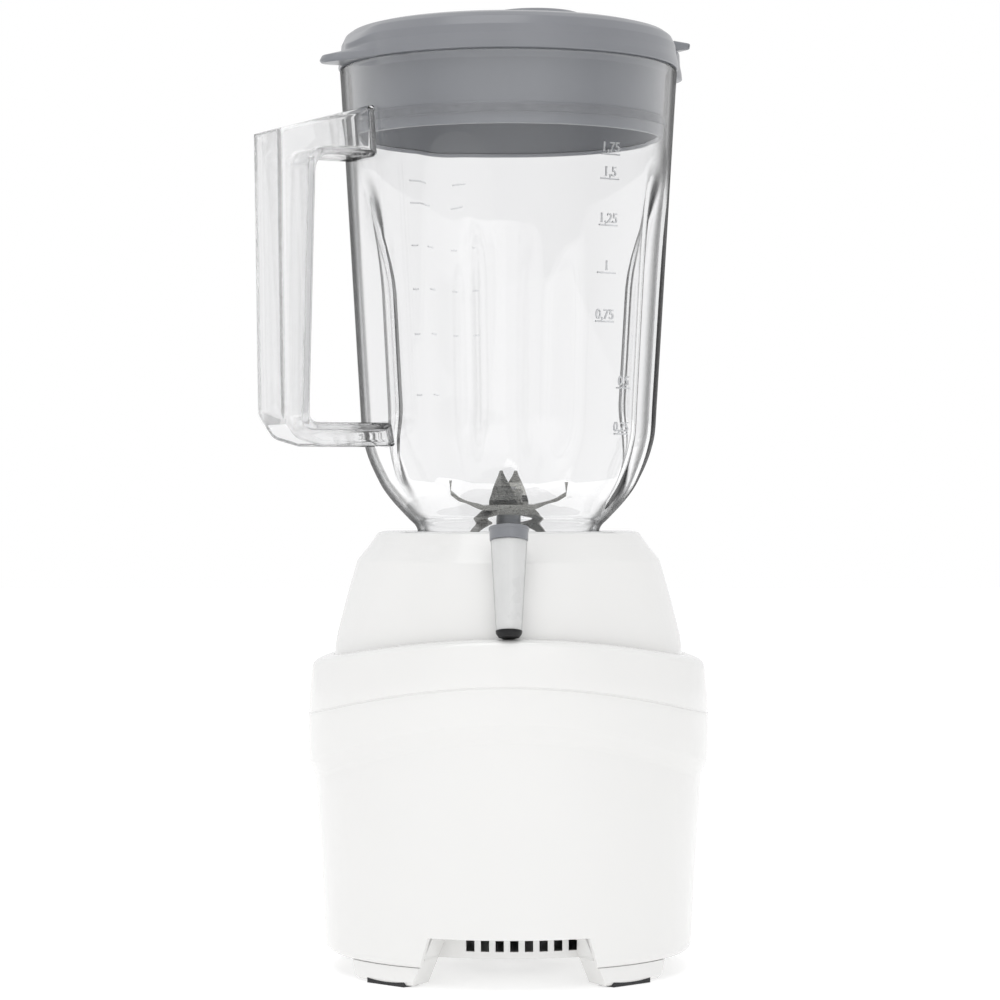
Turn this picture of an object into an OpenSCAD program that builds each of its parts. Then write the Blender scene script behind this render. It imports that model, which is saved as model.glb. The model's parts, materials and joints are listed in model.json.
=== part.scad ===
// Countertop blender: a motor base, a clear fluted jug with a knife unit in its floor,
// and a lid with a filler cap. A lever on the neck works the speed switch.
// Millimetres, +Z up. The origin is on the base's axis, on the plane that the feet stand on.
// The front is -Y: the lever is there, and the power inlet is at the back.

/* [Base] */
// Radius of the widest band of the base
band_r = 89.8; // [88:0.1:110]
// Height of the top of the neck above the feet
base_h = 195.3; // [190:0.1:250]
// Radius of the flat top of the neck
neck_top_r = 58; // [56:0.1:62]
// Wall of the base's two housings
base_wall = 2.6; // [2:0.1:3.5]
// Height of the housing's lower edge above the feet
skirt_z = 9; // [8:0.5:10]
// Height of the shoulder's edge at the front
shoulder_z = 150; // [145:0.5:156]
// How far the shoulder's edge falls from the front to the sides
shoulder_drop = 13; // [8:0.5:15]
// Height of the band's upper line at the front
line_z = 129.7; // [126:0.1:133]
// How far the band's upper line falls to the sides
line_drop = 15.4; // [10:0.1:17]
// Height of the band's lower line at the front
band_z = 115.4; // [110:0.1:118]
// How far the band's lower line falls to the sides
band_drop = 21.8; // [14:0.1:24]
// Half the width of the opening in the housing's lower edge
arch_half = 34.5; // [30:0.5:36]
// Height of the top of that opening
arch_z = 22; // [19:0.5:26]

/* [Feet and vents] */
// Width of a rubber foot pad, along the base's edge
pad_w = 22; // [16:0.5:24]
// Depth of a rubber foot pad
pad_d = 9; // [7:0.5:10]
// Height of a rubber foot pad
pad_h = 3; // [2.5:0.1:4]
// Gap under the legs that the pads stand out by
foot_z = 0.8; // [0.5:0.1:1.5]
// Thickness of the bottom cover
cover_t = 2.5; // [2:0.1:4]
// Number of vent slots in each grille
slot_count = 8; // [4:1:8]
// How far the vent slots lie to the right of the middle
slot_shift = 5.5; // [0:0.5:8]
// Width of a vent slot
slot_w = 3.6; // [2:0.1:4]
// Distance from slot to slot
slot_pitch = 6.3; // [5:0.1:6.5]

/* [Jug] */
// Height of the jug's rim above the top of the neck
jug_h = 206.4; // [180:0.1:260]
// Outside radius of the rim
rim_r = 75.7; // [74:0.1:80]
// Wall of the jug
jug_wall = 3; // [2.5:0.1:3.4]
// Outside radius of the foot that stands in the neck
foot_r = 40.7; // [38:0.1:42]
// How deep the foot stands in the neck
foot_sink = 11.3; // [9:0.1:13]
// Radius of a pressed flute
flute_r = 14; // [10:0.5:16]
// Depth of a flute below the jug's wall
flute_depth = 12; // [8:0.5:14]
// Distance from the rim down to the top of a flute
flute_drop = 48; // [45:1:70]
// Turn of the handle from the left side towards the front
jug_turn = 27; // [0:1:60]

/* [Handle] */
// Distance of the grip's outer face from the jug's axis
grip_out = 118.5; // [110:0.5:125]
// Thickness of the grip, from its outer to its inner face
grip_t = 18.5; // [14:0.5:22]
// Width of the handle
grip_w = 30; // [22:0.5:34]
// Wall of the hollow handle
grip_wall = 3; // [2.5:0.1:4]
// Height of the finger opening
finger_h = 116; // [85:1:130]

/* [Lid] */
// Outside radius of the lid's lower edge
lid_r = 76.5; // [76:0.1:82]
// Wall of the lid
lid_wall = 2.4; // [2:0.1:3]
// Depth of the lid's plug inside the jug
plug_depth = 31; // [20:0.5:36]
// Radius of the filler cap
cap_r = 22; // [19:0.5:25]
// Distance of the filler cap from the lid's centre
cap_shift = 13.6; // [0:0.1:16]

/* [Knife] */
// Radius of the knife spindle
spindle_r = 3.5; // [3:0.1:4]
// Reach of the side blades from the axis
blade_reach = 27; // [22:0.5:30]
// Thickness of a blade
blade_t = 1.6; // [1.2:0.1:2]
// Length of the spindle below the jug's floor
spindle_len = 45; // [40:0.5:50]

/* [Motor] */
// Radius of the motor shaft
shaft_r = 4; // [3.5:0.1:4.5]
// Outside radius of the stator core
stator_r = 43; // [40:0.5:46]
// Height of the stator's iron core
stator_h = 40; // [30:1:44]
// Radius of the armature
armature_r = 20.4; // [18:0.1:21]
// Air gap between the armature and the stator
air_gap = 0.6; // [0.4:0.1:1]
// Radius of the cooling fan
fan_r = 38; // [30:1:42]
// Number of fan blades
fan_blades = 9; // [5:1:13]

/* [Lever] */
// Radius of the lever's collar
lever_r = 8.7; // [7:0.1:10]
// Length of the lever's grip below the collar
lever_len = 37.6; // [30:0.1:38]
// Lean of the lever, which follows the slope of the neck
lever_lean = 13.3; // [12:0.1:15]

/* [Fits] */
// Gap between faces that do not move on each other
seat_gap = 0.2; // [0.1:0.05:0.3]
// Gap round a shaft that turns in its bore
run_gap = 0.05; // [0.03:0.01:0.08]
// Gap between pieces that lift off each other
lift_gap = 0.4; // [0.3:0.05:0.6]

/* [Hidden] */
$fn = 96;

white = "#eceef0";
lid_grey = "#898c92";
dark = "#2a2b2e";
steel = "#b9bdc2";
clear = [0.86, 0.89, 0.92, 0.35];
over = 1;              // how far a cutter runs past the face that it opens

// Base heights and radii
skirt_r = band_r - 8.8;                 // lower edge of the housing
housing_r = band_r - 2.2;               // housing just under the shoulder
neck_foot_r = neck_top_r + 19.9;        // the neck where it enters the housing
neck_bottom_z = shoulder_z - shoulder_drop - 13;
shelf_t = 2.8;
cover_r = skirt_r + 1 - base_wall - seat_gap;
cover_z = skirt_z + 3;
cover_top = cover_z + cover_t;
grille_r = skirt_r - 15;
grille_t = 2;
slot_z = arch_z - 6.9;
leg_in = skirt_r - 15;
leg_out = skirt_r - 0.5;
leg_chamfer = 1.6;
leg_way_in = 61.5;     // where a leg's side next to the opening meets the housing, round from the x axis
leg_way_out = 32;      // the same for its other side
leg_slant = 0.45;
leg_way = 48;          // where a leg's pad is
cheek_t = 2;
pad_place = skirt_r - 6;
boss_r = 4.5;
pilot_r = 1.5;
screw_r = 1.4;
screw_head_r = 3;
screw_head_h = 1.8;
cover_boss_at = [20, 160, 200, 340];
cover_boss_place = skirt_r - 9;
cover_boss_top = 40;
neck_boss_place = neck_foot_r - base_wall - boss_r + 1;
neck_boss_h = 16;

// Neck recess, jug foot and jug
recess_r = foot_r + 0.8;
recess_wall = 2.5;
recess_z = base_h - foot_sink - lift_gap;
jug_z = base_h - foot_sink;
jug_floor_t = 3;
jug_floor_z = base_h - 4.4;
foot_in = foot_r - 4.7;
rim_z = base_h + jug_h;
shoulder_r = 65.9;
shoulder_up = 44.7;
jug_slope = (rim_r - shoulder_r) / (jug_h - shoulder_up);
lug_w = 8;
lug_h = 4;
guide_r = 10.5;
guide_wall = 2;
guide_z = base_h - 41;
spout_r = 12;
spout_tilt = 32;
spout_h = 26;

// Handle, in the plane of the handle: x runs away from the jug, y is the height
arm_t = 10.3;
finger_top = rim_z - 42.7;
finger_low = finger_top - finger_h;
grip_top = rim_z - 32.9;
grip_root_z = rim_z - 19.7;

// Lid and cap
lid_z = rim_z + 0.3;
lid_top = rim_z + 19.6;
plug_r = rim_r - jug_wall - 2.7;
plug_low = rim_z - plug_depth;
seal_z = plug_low + 5;
seal_h = 3;
hood_x = lid_r - 4.5;
hood_r = 17;
hood_h = 15.6;
cap_stem_r = cap_r - 2.1;
cap_low = lid_top - 14;
cap_top = lid_top + 7.7;

// Spindle and drive
holder_r = 8;
collar_r = 9.25;
gasket_t = 1;
locknut_h = 2.6;
bush_h = 8;
bush_wall = 1.6;
bush_r = spindle_r + run_gap + bush_wall;
holder_low = jug_floor_z - jug_floor_t - gasket_t - locknut_h;
tube_low = jug_floor_z - spindle_len + 4.4;
tip_h = 4.2;
hex_h = 7;
hex_r = 5;
socket_r = 10.5;
socket_top = tube_low - tip_h - 0.7;
socket_h = 16;
socket_bore = 6.5;
socket_low = socket_top - socket_h;
hub_z = jug_floor_z + 6;
hub_h = 7;
knife_z = hub_z + hub_h;

// Motor
fan_z = cover_top + 3;
fan_h = 10;
low_plate_z = fan_z + fan_h + 3;
plate_t = 3;
bearing_r = 11;
bearing_h = 7;
low_bearing_z = low_plate_z + plate_t;
comm_z = low_bearing_z + bearing_h + 4;
comm_h = 14;
comm_r = 12;
stator_z = comm_z + comm_h + 9;
coil_over = 6.5;
coil_w = 9;
coil_in = armature_r + air_gap + 1;
coil_out = coil_in + coil_w;
top_plate_z = stator_z + stator_h + 10;
top_bearing_z = top_plate_z + plate_t;
stator_screw_place = stator_r - 5;
post_place = 54;
post_r = 6;
mount_h = 4;
mount_r = 7;
mount_hole_r = 2.5;
brush_w = 6;
brush_l = 12;
brush_holder_l = 24;
brush_z = comm_z + comm_h / 2;

// Lever: its pivot runs down into the neck, square to the neck's slope
lever_y = -neck_top_r - 16.9;
lever_z = base_h - 0.7;
collar_h = 5.6;
pin_r = 3;
bezel_r = 6;
bezel_stem_r = 4.2;
bezel_t = 1.5;
bezel_at = 9.2;        // along the pivot, the bezel's face behind the collar
bezel_end = 18;
wall_at = 15.6;        // along the pivot, from the lever's axis to the neck's skin

// Power inlet at the back
inlet_w = 26;
inlet_h = 18;
inlet_z = 50;
inlet_out = skirt_r + 3.6;
inlet_y = inlet_out - 20;
inlet_pin_x = 5;
inlet_pin_r = 1.6;

// Outlines, each a list of [radius, height]
function shift(pts, dr) = [for (p = pts) [p[0] + dr, p[1]]];

skirt_line = [
    [skirt_r - 0.4, skirt_z], [skirt_r + 0.8, skirt_z + 1.2], [skirt_r + 1.1, skirt_z + 2.5],
    [skirt_r + 2, skirt_z + 18], [skirt_r + 2.5, skirt_z + 29.5], [skirt_r + 3.4, skirt_z + 43],
    [skirt_r + 4.4, skirt_z + 57], [skirt_r + 5.3, skirt_z + 71], [skirt_r + 6.1, skirt_z + 86],
    [housing_r, shoulder_z - 14], [housing_r - 0.6, shoulder_z + over]
];
skirt_inside = concat([[skirt_r + 1 - base_wall, skirt_z]],
                      [for (i = [2 : len(skirt_line) - 1]) skirt_line[i] - [base_wall, 0]]);
neck_line = [
    [neck_foot_r, neck_bottom_z], [neck_foot_r, base_h - 52.6], [neck_top_r + 18.7, base_h - 45.3],
    [neck_top_r + 16.9, base_h - 38.3], [neck_top_r + 15.1, base_h - 31], [neck_top_r + 12, base_h - 20.3],
    [neck_top_r + 9.7, base_h - 13], [neck_top_r + 6.8, base_h - 9.4], [neck_top_r + 4.1, base_h - 5.8],
    [neck_top_r + 1.2, base_h - 2.3], [neck_top_r, base_h]
];
jug_line = [
    [foot_r - 0.5, jug_z], [foot_r, base_h + 1.4], [45.2, base_h + 5.9], [51.1, base_h + 12.2],
    [56, base_h + 18.5], [59.4, base_h + 24.7], [62.3, base_h + 31.1], [64.4, base_h + 37.4],
    [shoulder_r, base_h + shoulder_up], [rim_r, rim_z]
];
lid_line = [
    [lid_r, lid_z], [lid_r - 0.3, lid_z + 4], [lid_r - 1.3, lid_z + 10.4], [lid_r - 3, lid_z + 13.8],
    [lid_r - 5.5, lid_z + 16], [lid_r - 10.5, lid_z + 17.6], [lid_r - 21, lid_z + 18.8],
    [lid_r - 32, lid_top]
];

// A solid turned from an outline closed on the axis
module turned(pts) {
    low = pts[0];
    high = pts[len(pts) - 1];
    rotate_extrude() polygon(concat([[0, low[1]]], pts, [[0, high[1]]]));
}

module ring(r_out, r_in, h) {
    difference() {
        cylinder(r = r_out, h = h);
        translate([0, 0, -over]) cylinder(r = r_in, h = h + 2 * over);
    }
}

// Everything below an arched line that is z high at the front and drop lower at the sides
module under_arch(z, drop) {
    arch_r = (band_r * band_r + drop * drop) / (2 * drop);
    translate([0, 0, z - arch_r]) rotate([90, 0, 0]) cylinder(r = arch_r, h = 3 * band_r, center = true);
}

module front_and_back() {
    children();
    rotate([0, 0, 180]) children();
}

module at_angles(angles) {
    for (a = angles) rotate([0, 0, a]) children();
}

module lower_housing() {
    hole_r = neck_foot_r + seat_gap;
    color(white) difference() {
        union() {
            difference() {
                union() {
                    intersection() {
                        turned(skirt_line);
                        under_arch(shoulder_z, shoulder_drop);
                    }
                    difference() {
                        intersection() {
                            cylinder(r = band_r, h = shoulder_z);
                            under_arch(line_z, line_drop);
                        }
                        under_arch(band_z, band_drop);
                    }
                }
                intersection() {
                    translate([0, 0, -over / 10]) turned(skirt_inside);
                    under_arch(shoulder_z - base_wall, shoulder_drop);
                }
            }
            shelf();
            at_angles(cover_boss_at) cover_boss();
        }
        cylinder(r = hole_r - 12, h = shoulder_z + over);
        translate([0, 0, neck_bottom_z]) cylinder(r = hole_r, h = base_h);
        front_and_back() arch_cut();
        at_angles(cover_boss_at) translate([cover_boss_place, 0, 0])
            cylinder(r = pilot_r, h = cover_boss_top - 4);
        at_angles([45 : 90 : 315]) translate([neck_boss_place, 0, 0])
            cylinder(r = pilot_r + seat_gap, h = shoulder_z);
        translate([-inlet_w / 2 - seat_gap, 0, inlet_z - seat_gap])
            cube([inlet_w + 2 * seat_gap, band_r, inlet_h + 2 * seat_gap]);
    }
}

module shelf() {
    translate([0, 0, neck_bottom_z - shelf_t]) ring(housing_r - base_wall / 2, neck_foot_r - 10, shelf_t);
}

module cover_boss() {
    translate([cover_boss_place, 0, cover_top]) cylinder(r = boss_r, h = cover_boss_top - cover_top);
    translate([cover_boss_place, -base_wall / 2, skirt_z + 12])
        cube([skirt_r + 0.5 - cover_boss_place, base_wall, cover_boss_top - skirt_z - 12]);
}

// The opening in the lower edge, wider at the bottom
module arch_cut() {
    rotate([90, 0, 0]) linear_extrude(2 * band_r)
        polygon([[-arch_half - 4.4, skirt_z - over], [-arch_half, arch_z], [arch_half, arch_z],
                 [arch_half + 4.4, skirt_z - over]]);
}

module upper_housing() {
    color(white) difference() {
        union() {
            difference() {
                turned(neck_line);
                difference() {
                    translate([0, 0, -over / 10]) turned(shift(neck_line, -base_wall));
                    translate([0, 0, base_h - base_wall]) cylinder(r = band_r, h = base_wall + over);
                }
            }
            at_angles([45 : 90 : 315]) translate([neck_boss_place, 0, neck_bottom_z])
                cylinder(r = boss_r, h = neck_boss_h);
            translate([0, 0, recess_z - base_wall])
                cylinder(r = recess_r + recess_wall, h = base_h - recess_z + base_wall / 2);
            translate([0, 0, guide_z]) cylinder(r = guide_r + guide_wall, h = recess_z - guide_z);
        }
        difference() {
            translate([0, 0, recess_z]) cylinder(r = recess_r, h = foot_sink + 2);
            at_angles([0 : 90 : 270]) lug(0);
        }
        cylinder(r = guide_r, h = base_h);
        at_angles([45 : 90 : 315]) translate([neck_boss_place, 0, 0])
            cylinder(r = pilot_r, h = neck_bottom_z + neck_boss_h - 3);
        lever_place() {
            translate([0, 0, bezel_at])
                cylinder(r = bezel_stem_r + seat_gap, h = bezel_end + seat_gap - bezel_at);
            cylinder(r = pin_r + seat_gap, h = wall_at + 12);
        }
    }
}

// One of the lugs that keep the jug from turning; spare widens it into the foot's notch
module lug(spare) {
    translate([foot_in - 2, -lug_w / 2 - spare, recess_z - over])
        cube([recess_r - foot_in + 2 + over, lug_w + 2 * spare, lug_h + spare + over]);
}

module bottom_cover() {
    color(white) difference() {
        union() {
            difference() {
                translate([0, 0, cover_z]) cylinder(r = cover_r, h = cover_t);
                front_and_back() notch();
            }
            at_corners() leg();
            at_corners() cheek();
            at_angles([45 : 90 : 315]) translate([post_place, 0, cover_top - over])
                cylinder(r = post_r, h = low_plate_z - mount_h - cover_top + over);
            front_and_back() grille();
        }
        at_corners() rotate([0, 0, leg_way]) pad(run_gap);
        at_angles([45 : 90 : 315]) translate([post_place, 0, 0])
            cylinder(r = pilot_r, h = low_plate_z);
        at_angles(cover_boss_at) translate([cover_boss_place, 0, 0]) {
            cylinder(r = pilot_r + seat_gap, h = cover_top + over);
            cylinder(r = screw_head_r + seat_gap, h = cover_z + 1.2);
        }
        front_and_back() grille_slots();
        translate([0, 0, cover_z - over]) for (a = [0 : 60 : 300]) rotate([0, 0, a])
            translate([fan_r / 2, 0, 0]) cylinder(r = 5, h = cover_t + 2 * over);
    }
}

// Each of the base's four corners, the first between the x and y axes
module at_corners() {
    for (x = [0, 1]) for (y = [0, 1]) mirror([x, 0, 0]) mirror([0, y, 0]) children();
}

// Everything on one side of a leg's slanted side, which stands along the line at that angle
module leg_side(way, side, back) {
    low = -leg_slant * (skirt_z + over) - back;
    high = leg_slant * (arch_z + over - skirt_z) - back;
    rotate([0, 0, way]) rotate([90, 0, 90]) linear_extrude(band_r)
        polygon([[-side * band_r, -over], [side * low, -over], [side * high, arch_z + over],
                 [-side * band_r, arch_z + over]]);
}

module leg() {
    intersection() {
        rotate_extrude() polygon([
            [leg_in, foot_z], [leg_out - leg_chamfer, foot_z], [leg_out, foot_z + leg_chamfer],
                                  [leg_out, skirt_z - seat_gap], [cover_r, skirt_z - seat_gap],
                                  [cover_r, cover_z + cover_t / 2], [leg_in, cover_z + cover_t / 2]]);
        leg_side(leg_way_in, 1, 0);
        leg_side(leg_way_out, -1, 0);
    }
}

// The opening's side wall, from the leg's side back to the grille
module cheek() {
    intersection() {
        translate([0, 0, cover_z]) ring(cover_r, grille_r - grille_t, arch_z + over - cover_z);
        difference() {
            leg_side(leg_way_in, 1, 0);
            leg_side(leg_way_in, 1, cheek_t);
        }
        cube([band_r, band_r, arch_z + over]);
    }
}

// What the cover leaves free in front of the grille, so that air gets in
module notch() {
    way = leg_way_in + 1.5;
    translate([0, 0, cover_z - over]) difference() {
        linear_extrude(cover_t + 2 * over)
            polygon([
                [0, 0],
                [2 * band_r * cos(way), -2 * band_r * sin(way)],
                [-2 * band_r * cos(way), -2 * band_r * sin(way)]
            ]);
        translate([0, 0, -over]) cylinder(r = grille_r, h = cover_t + 4 * over);
    }
}

// The grille behind the opening, and the ledge that closes the opening's top
module grille() {
    intersection() {
        union() {
            translate([0, 0, cover_z + over])
                ring(grille_r, grille_r - grille_t, arch_z + 2.5 - cover_z - over);
            translate([0, 0, arch_z + 0.5]) ring(cover_r, grille_r - grille_t, 2);
        }
        translate([-arch_half + 1, -band_r, 0]) cube([2 * arch_half - 2, band_r, base_h]);
    }
}

module grille_slots() {
    for (i = [0 : slot_count - 1])
        translate([
            slot_shift + (i - (slot_count - 1) / 2) * slot_pitch - slot_w / 2, -grille_r - over, slot_z
        ])
            cube([slot_w, grille_r / 2, 5]);
}

module foot_pads() {
    color(dark) at_corners() rotate([0, 0, leg_way]) pad(0);
}

// A foot pad, or with spare the pocket that it sits in
module pad(spare) {
    translate([pad_place - pad_d / 2 - spare, -pad_w / 2 - spare, 0])
        cube([pad_d + 2 * spare, pad_w + 2 * spare, pad_h]);
}

// A pan-head screw with its head at the bottom
module screw(len) {
    difference() {
        union() {
            cylinder(r = screw_head_r, h = screw_head_h);
            cylinder(r = screw_r, h = len);
        }
        translate([-2, -0.4, -over]) cube([4, 0.8, over + 0.8]);
        translate([-0.4, -2, -over]) cube([0.8, 4, over + 0.8]);
    }
}

module cover_screws() {
    color(steel) at_angles(cover_boss_at)
        translate([cover_boss_place, 0, cover_z + 1.2 - screw_head_h]) screw(18);
}

module housing_screws() {
    color(steel) at_angles([45 : 90 : 315])
        translate([neck_boss_place, 0, neck_bottom_z - shelf_t - screw_head_h]) screw(14);
}

module power_inlet() {
    color(dark) difference() {
        union() {
            translate([-inlet_w / 2, inlet_y, inlet_z]) cube([inlet_w, inlet_out - inlet_y, inlet_h]);
            translate([-inlet_w / 2 - 3, inlet_out - 8, inlet_z - 3])
                cube([inlet_w + 6, 2, inlet_h + 6]);
        }
        translate([-inlet_w / 2 + 2, inlet_y + 4, inlet_z + 2])
            cube([inlet_w - 4, inlet_out, inlet_h - 4]);
        for (s = [-1, 1]) translate([s * inlet_pin_x, inlet_y - over, inlet_z + inlet_h / 2])
            rotate([-90, 0, 0]) cylinder(r = inlet_pin_r, h = 6);
    }
}

module inlet_pins() {
    color(steel) for (s = [-1, 1]) translate([s * inlet_pin_x, inlet_y - 5, inlet_z + inlet_h / 2])
        rotate([-90, 0, 0]) cylinder(r = inlet_pin_r, h = 17);
}

// A bearing plate: a disc with four arms, a bearing seat and screw holes
module bracket(z, seat_z, arm_to, arm_hole_r) {
    difference() {
        union() {
            translate([0, 0, z]) cylinder(r = bearing_r + 3, h = plate_t + bearing_h);
            intersection() {
                translate([0, 0, z]) cylinder(r = arm_to, h = plate_t);
                at_angles([45, 135]) translate([-band_r, -9, 0]) cube([2 * band_r, 18, base_h]);
            }
        }
        translate([0, 0, z - over]) cylinder(r = shaft_r + 1.5, h = plate_t + bearing_h + 2 * over);
        translate([0, 0, seat_z]) cylinder(r = bearing_r, h = bearing_h + over);
        at_angles([45 : 90 : 315]) {
            translate([stator_screw_place, 0, z - over]) cylinder(r = screw_r + 0.6, h = plate_t + 2 * over);
            translate([post_place, 0, z - over]) cylinder(r = arm_hole_r, h = plate_t + 2 * over);
        }
    }
}

module motor_bottom_bracket() {
    color("silver") bracket(low_plate_z, low_bearing_z, post_place + 7, mount_hole_r + 1.5);
}

module motor_top_bracket() {
    color("silver") bracket(top_plate_z, top_bearing_z, stator_r, pilot_r);
}

// Rubber mounts between the cover's posts and the bracket, each with its screw's hole
module motor_mounts() {
    color(dark) at_angles([45 : 90 : 315]) translate([post_place, 0, low_plate_z - mount_h]) difference() {
        union() {
            cylinder(r = mount_r, h = mount_h);
            cylinder(r = mount_hole_r + 1.5 - run_gap, h = mount_h + plate_t);
        }
        translate([0, 0, -over]) cylinder(r = pilot_r + 0.6, h = mount_h + plate_t + 2 * over);
    }
}

// Four screws hold the bracket on its mounts, and four long ones hold the stator between the brackets
module motor_screws() {
    long = top_plate_z + plate_t - low_plate_z + screw_head_h;
    color(steel) at_angles([45 : 90 : 315]) {
        translate([stator_screw_place, 0, low_plate_z - screw_head_h]) screw(long);
        translate([post_place, 0, low_plate_z + plate_t + screw_head_h]) mirror([0, 0, 1]) screw(14);
        translate([stator_screw_place, 0, low_plate_z + plate_t])
            ring(4, screw_r + 0.1, stator_z - low_plate_z - plate_t);
        translate([stator_screw_place, 0, stator_z + stator_h])
            ring(4, screw_r + 0.1, top_plate_z - stator_z - stator_h);
    }
}

module stator_core() {
    color("dimgray") translate([0, 0, stator_z]) difference() {
        cylinder(r = stator_r, h = stator_h);
        translate([0, 0, -over]) cylinder(r = armature_r + air_gap, h = stator_h + 2 * over);
        for (s = [0, 180]) rotate([0, 0, s]) translate([0, 0, -over]) intersection() {
            ring(coil_out + seat_gap, armature_r, stator_h + 2 * over);
            coil_slots(seat_gap, stator_h + 3 * over);
        }
        at_angles([45 : 90 : 315]) translate([stator_screw_place, 0, -over])
            cylinder(r = screw_r + 0.4, h = stator_h + 2 * over);
    }
}

// The two slots, either side of a pole, that one coil's legs lie in
module coil_slots(spare, h) {
    for (s = [-1, 1]) translate([armature_r / 2, s * (armature_r - 1) - coil_w / 2 - spare, 0])
        cube([coil_out, coil_w + 2 * spare, h]);
}

module field_coils() {
    leg_mid = armature_r - 1;
    color("peru") for (s = [0, 180]) rotate([0, 0, s])
        translate([0, 0, stator_z - coil_over]) intersection() {
        ring(coil_out, coil_in, stator_h + 2 * coil_over);
        union() {
            coil_slots(0, stator_h + 2 * coil_over);
            for (z = [0, stator_h + coil_over + seat_gap])
                translate([armature_r / 2, -leg_mid, z]) cube([coil_out, 2 * leg_mid, coil_over - seat_gap]);
        }
    }
}

module armature_core() {
    color("dimgray") translate([0, 0, stator_z]) difference() {
        ring(armature_r, shaft_r, stator_h);
        for (a = [15 : 30 : 345]) rotate([0, 0, a]) translate([armature_r - 5, -0.9, -over])
            cube([8, 1.8, stator_h + 2 * over]);
    }
}

// The wire's heads at both ends of the armature
module armature_windings() {
    color("chocolate") {
        translate([0, 0, stator_z - 7]) ring(armature_r - 4, shaft_r, 7);
        translate([0, 0, stator_z + stator_h]) ring(armature_r - 4, shaft_r, 7);
    }
}

module commutator() {
    color("chocolate") translate([0, 0, comm_z]) difference() {
        ring(comm_r, shaft_r, comm_h);
        for (a = [0 : 15 : 345]) rotate([0, 0, a]) translate([comm_r - 0.8, -0.2, -over])
            cube([3, 0.4, comm_h - 1]);
    }
}

module motor_shaft() {
    color(steel) translate([0, 0, fan_z - 2])
        cylinder(r = shaft_r, h = socket_low + socket_bore - fan_z + 2);
}

module bearing(z) {
    color(steel) translate([0, 0, z]) {
        ring(bearing_r, bearing_r - 2, bearing_h);
        translate([0, 0, 0.5]) ring(bearing_r - 2, shaft_r + 2, bearing_h - 1);
        ring(shaft_r + 2, shaft_r + run_gap, bearing_h);
    }
}

module top_bearing() {
    bearing(top_bearing_z);
}

module bottom_bearing() {
    bearing(low_bearing_z);
}

module cooling_fan() {
    color("gray") translate([0, 0, fan_z]) {
        ring(8, shaft_r, fan_h);
        ring(fan_r, shaft_r, 1.6);
        for (i = [0 : fan_blades - 1]) rotate([0, 0, i * 360 / fan_blades])
            translate([7, -0.8, 1]) cube([fan_r - 9, 1.6, fan_h - 1]);
    }
}

module brush_holders() {
    color("saddlebrown") for (s = [0, 180]) rotate([0, 0, s]) difference() {
        union() {
            translate([comm_r + 2, -brush_w / 2 - 2, brush_z - brush_w / 2 - 2])
                cube([brush_holder_l, brush_w + 4, brush_w + 4]);
            translate([comm_r + 6, -brush_w / 2 - 2, low_plate_z + plate_t])
                cube([brush_holder_l - 8, brush_w + 4, brush_z - brush_w / 2 - low_plate_z - plate_t]);
        }
        translate([0, -brush_w / 2, brush_z - brush_w / 2])
            cube([comm_r + brush_holder_l, brush_w, brush_w]);
        translate([0, 0, low_plate_z]) cylinder(r = bearing_r + 3 + seat_gap, h = plate_t + bearing_h + 1);
    }
}

module carbon_brushes() {
    slack = 2 * run_gap;
    color("black") for (s = [0, 180]) rotate([0, 0, s])
        translate([comm_r + seat_gap, -brush_w / 2 + slack, brush_z - brush_w / 2 + slack])
            cube([brush_l, brush_w - 2 * slack, brush_w - 2 * slack]);
}

// Each spring is drawn as the tube that its coils fill
module brush_springs() {
    from = comm_r + seat_gap + brush_l;
    color(steel) for (s = [0, 180]) rotate([0, 0, s]) translate([from, 0, brush_z]) rotate([0, 90, 0])
        ring(brush_w / 2 - 0.4, brush_w / 2 - 1.2, comm_r + brush_holder_l - from);
}

// The board stands behind the motor's left side on two lugs of its own
module speed_board() {
    board_x = -stator_r - 21;
    color("darkgreen") translate([board_x, -15, cover_top]) cube([1.6, 30, 60]);
    color("darkgreen") for (y = [-14, 8]) translate([board_x + 1.6, y, cover_top]) cube([6, 6, 4]);
    color("goldenrod") translate([board_x + 1.6, -13, cover_top + 40]) cube([7, 14, 12]);
    color("black") translate([board_x + 1.6, 8, cover_top + 26]) rotate([0, 90, 0]) cylinder(r = 5, h = 9);
    color("silver") translate([board_x + 1.6, -8, cover_top + 16]) cube([4, 12, 15]);
}

// Frame of the lever's pivot: z runs from the lever's axis into the neck, and y down
module lever_place() {
    translate([0, lever_y, lever_z]) rotate([-90 - lever_lean, 0, 0]) children();
}

module rotary_switch() {
    color(dark) lever_place() difference() {
        union() {
            translate([-7, -2.6, wall_at + 5.4]) cube([14, 11.6, 7]);
            translate([-4, 9, wall_at + 6.4]) cube([8, 3, 5]);
        }
        translate([0, 0, wall_at]) cylinder(r = pin_r + run_gap, h = 10.6);
    }
}

module lever_bezel() {
    color(white) lever_place() difference() {
        union() {
            translate([0, 0, bezel_at]) cylinder(r = bezel_r, h = bezel_t);
            translate([0, 0, bezel_at]) cylinder(r = bezel_stem_r, h = bezel_end - bezel_at);
        }
        cylinder(r = pin_r + run_gap, h = wall_at + 12);
    }
}

module lever_shaft() {
    color(steel) lever_place() translate([0, 0, lever_r - 2])
        cylinder(r = pin_r, h = wall_at + 10 - lever_r + 2);
}

// Frame of the lever itself: z runs up the lever, square to the pivot
module lever_up() {
    translate([0, lever_y, lever_z]) rotate([-lever_lean, 0, 0]) children();
}

module lever_collar() {
    color(lid_grey) difference() {
        lever_up() union() {
            translate([0, 0, -collar_h / 2]) cylinder(r = lever_r, h = collar_h);
            translate([0, 0, collar_h / 2]) cylinder(r1 = lever_r, r2 = lever_r - 1.6, h = 1.4);
        }
        lever_place() cylinder(r = pin_r, h = 2 * lever_r);
    }
}

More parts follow.
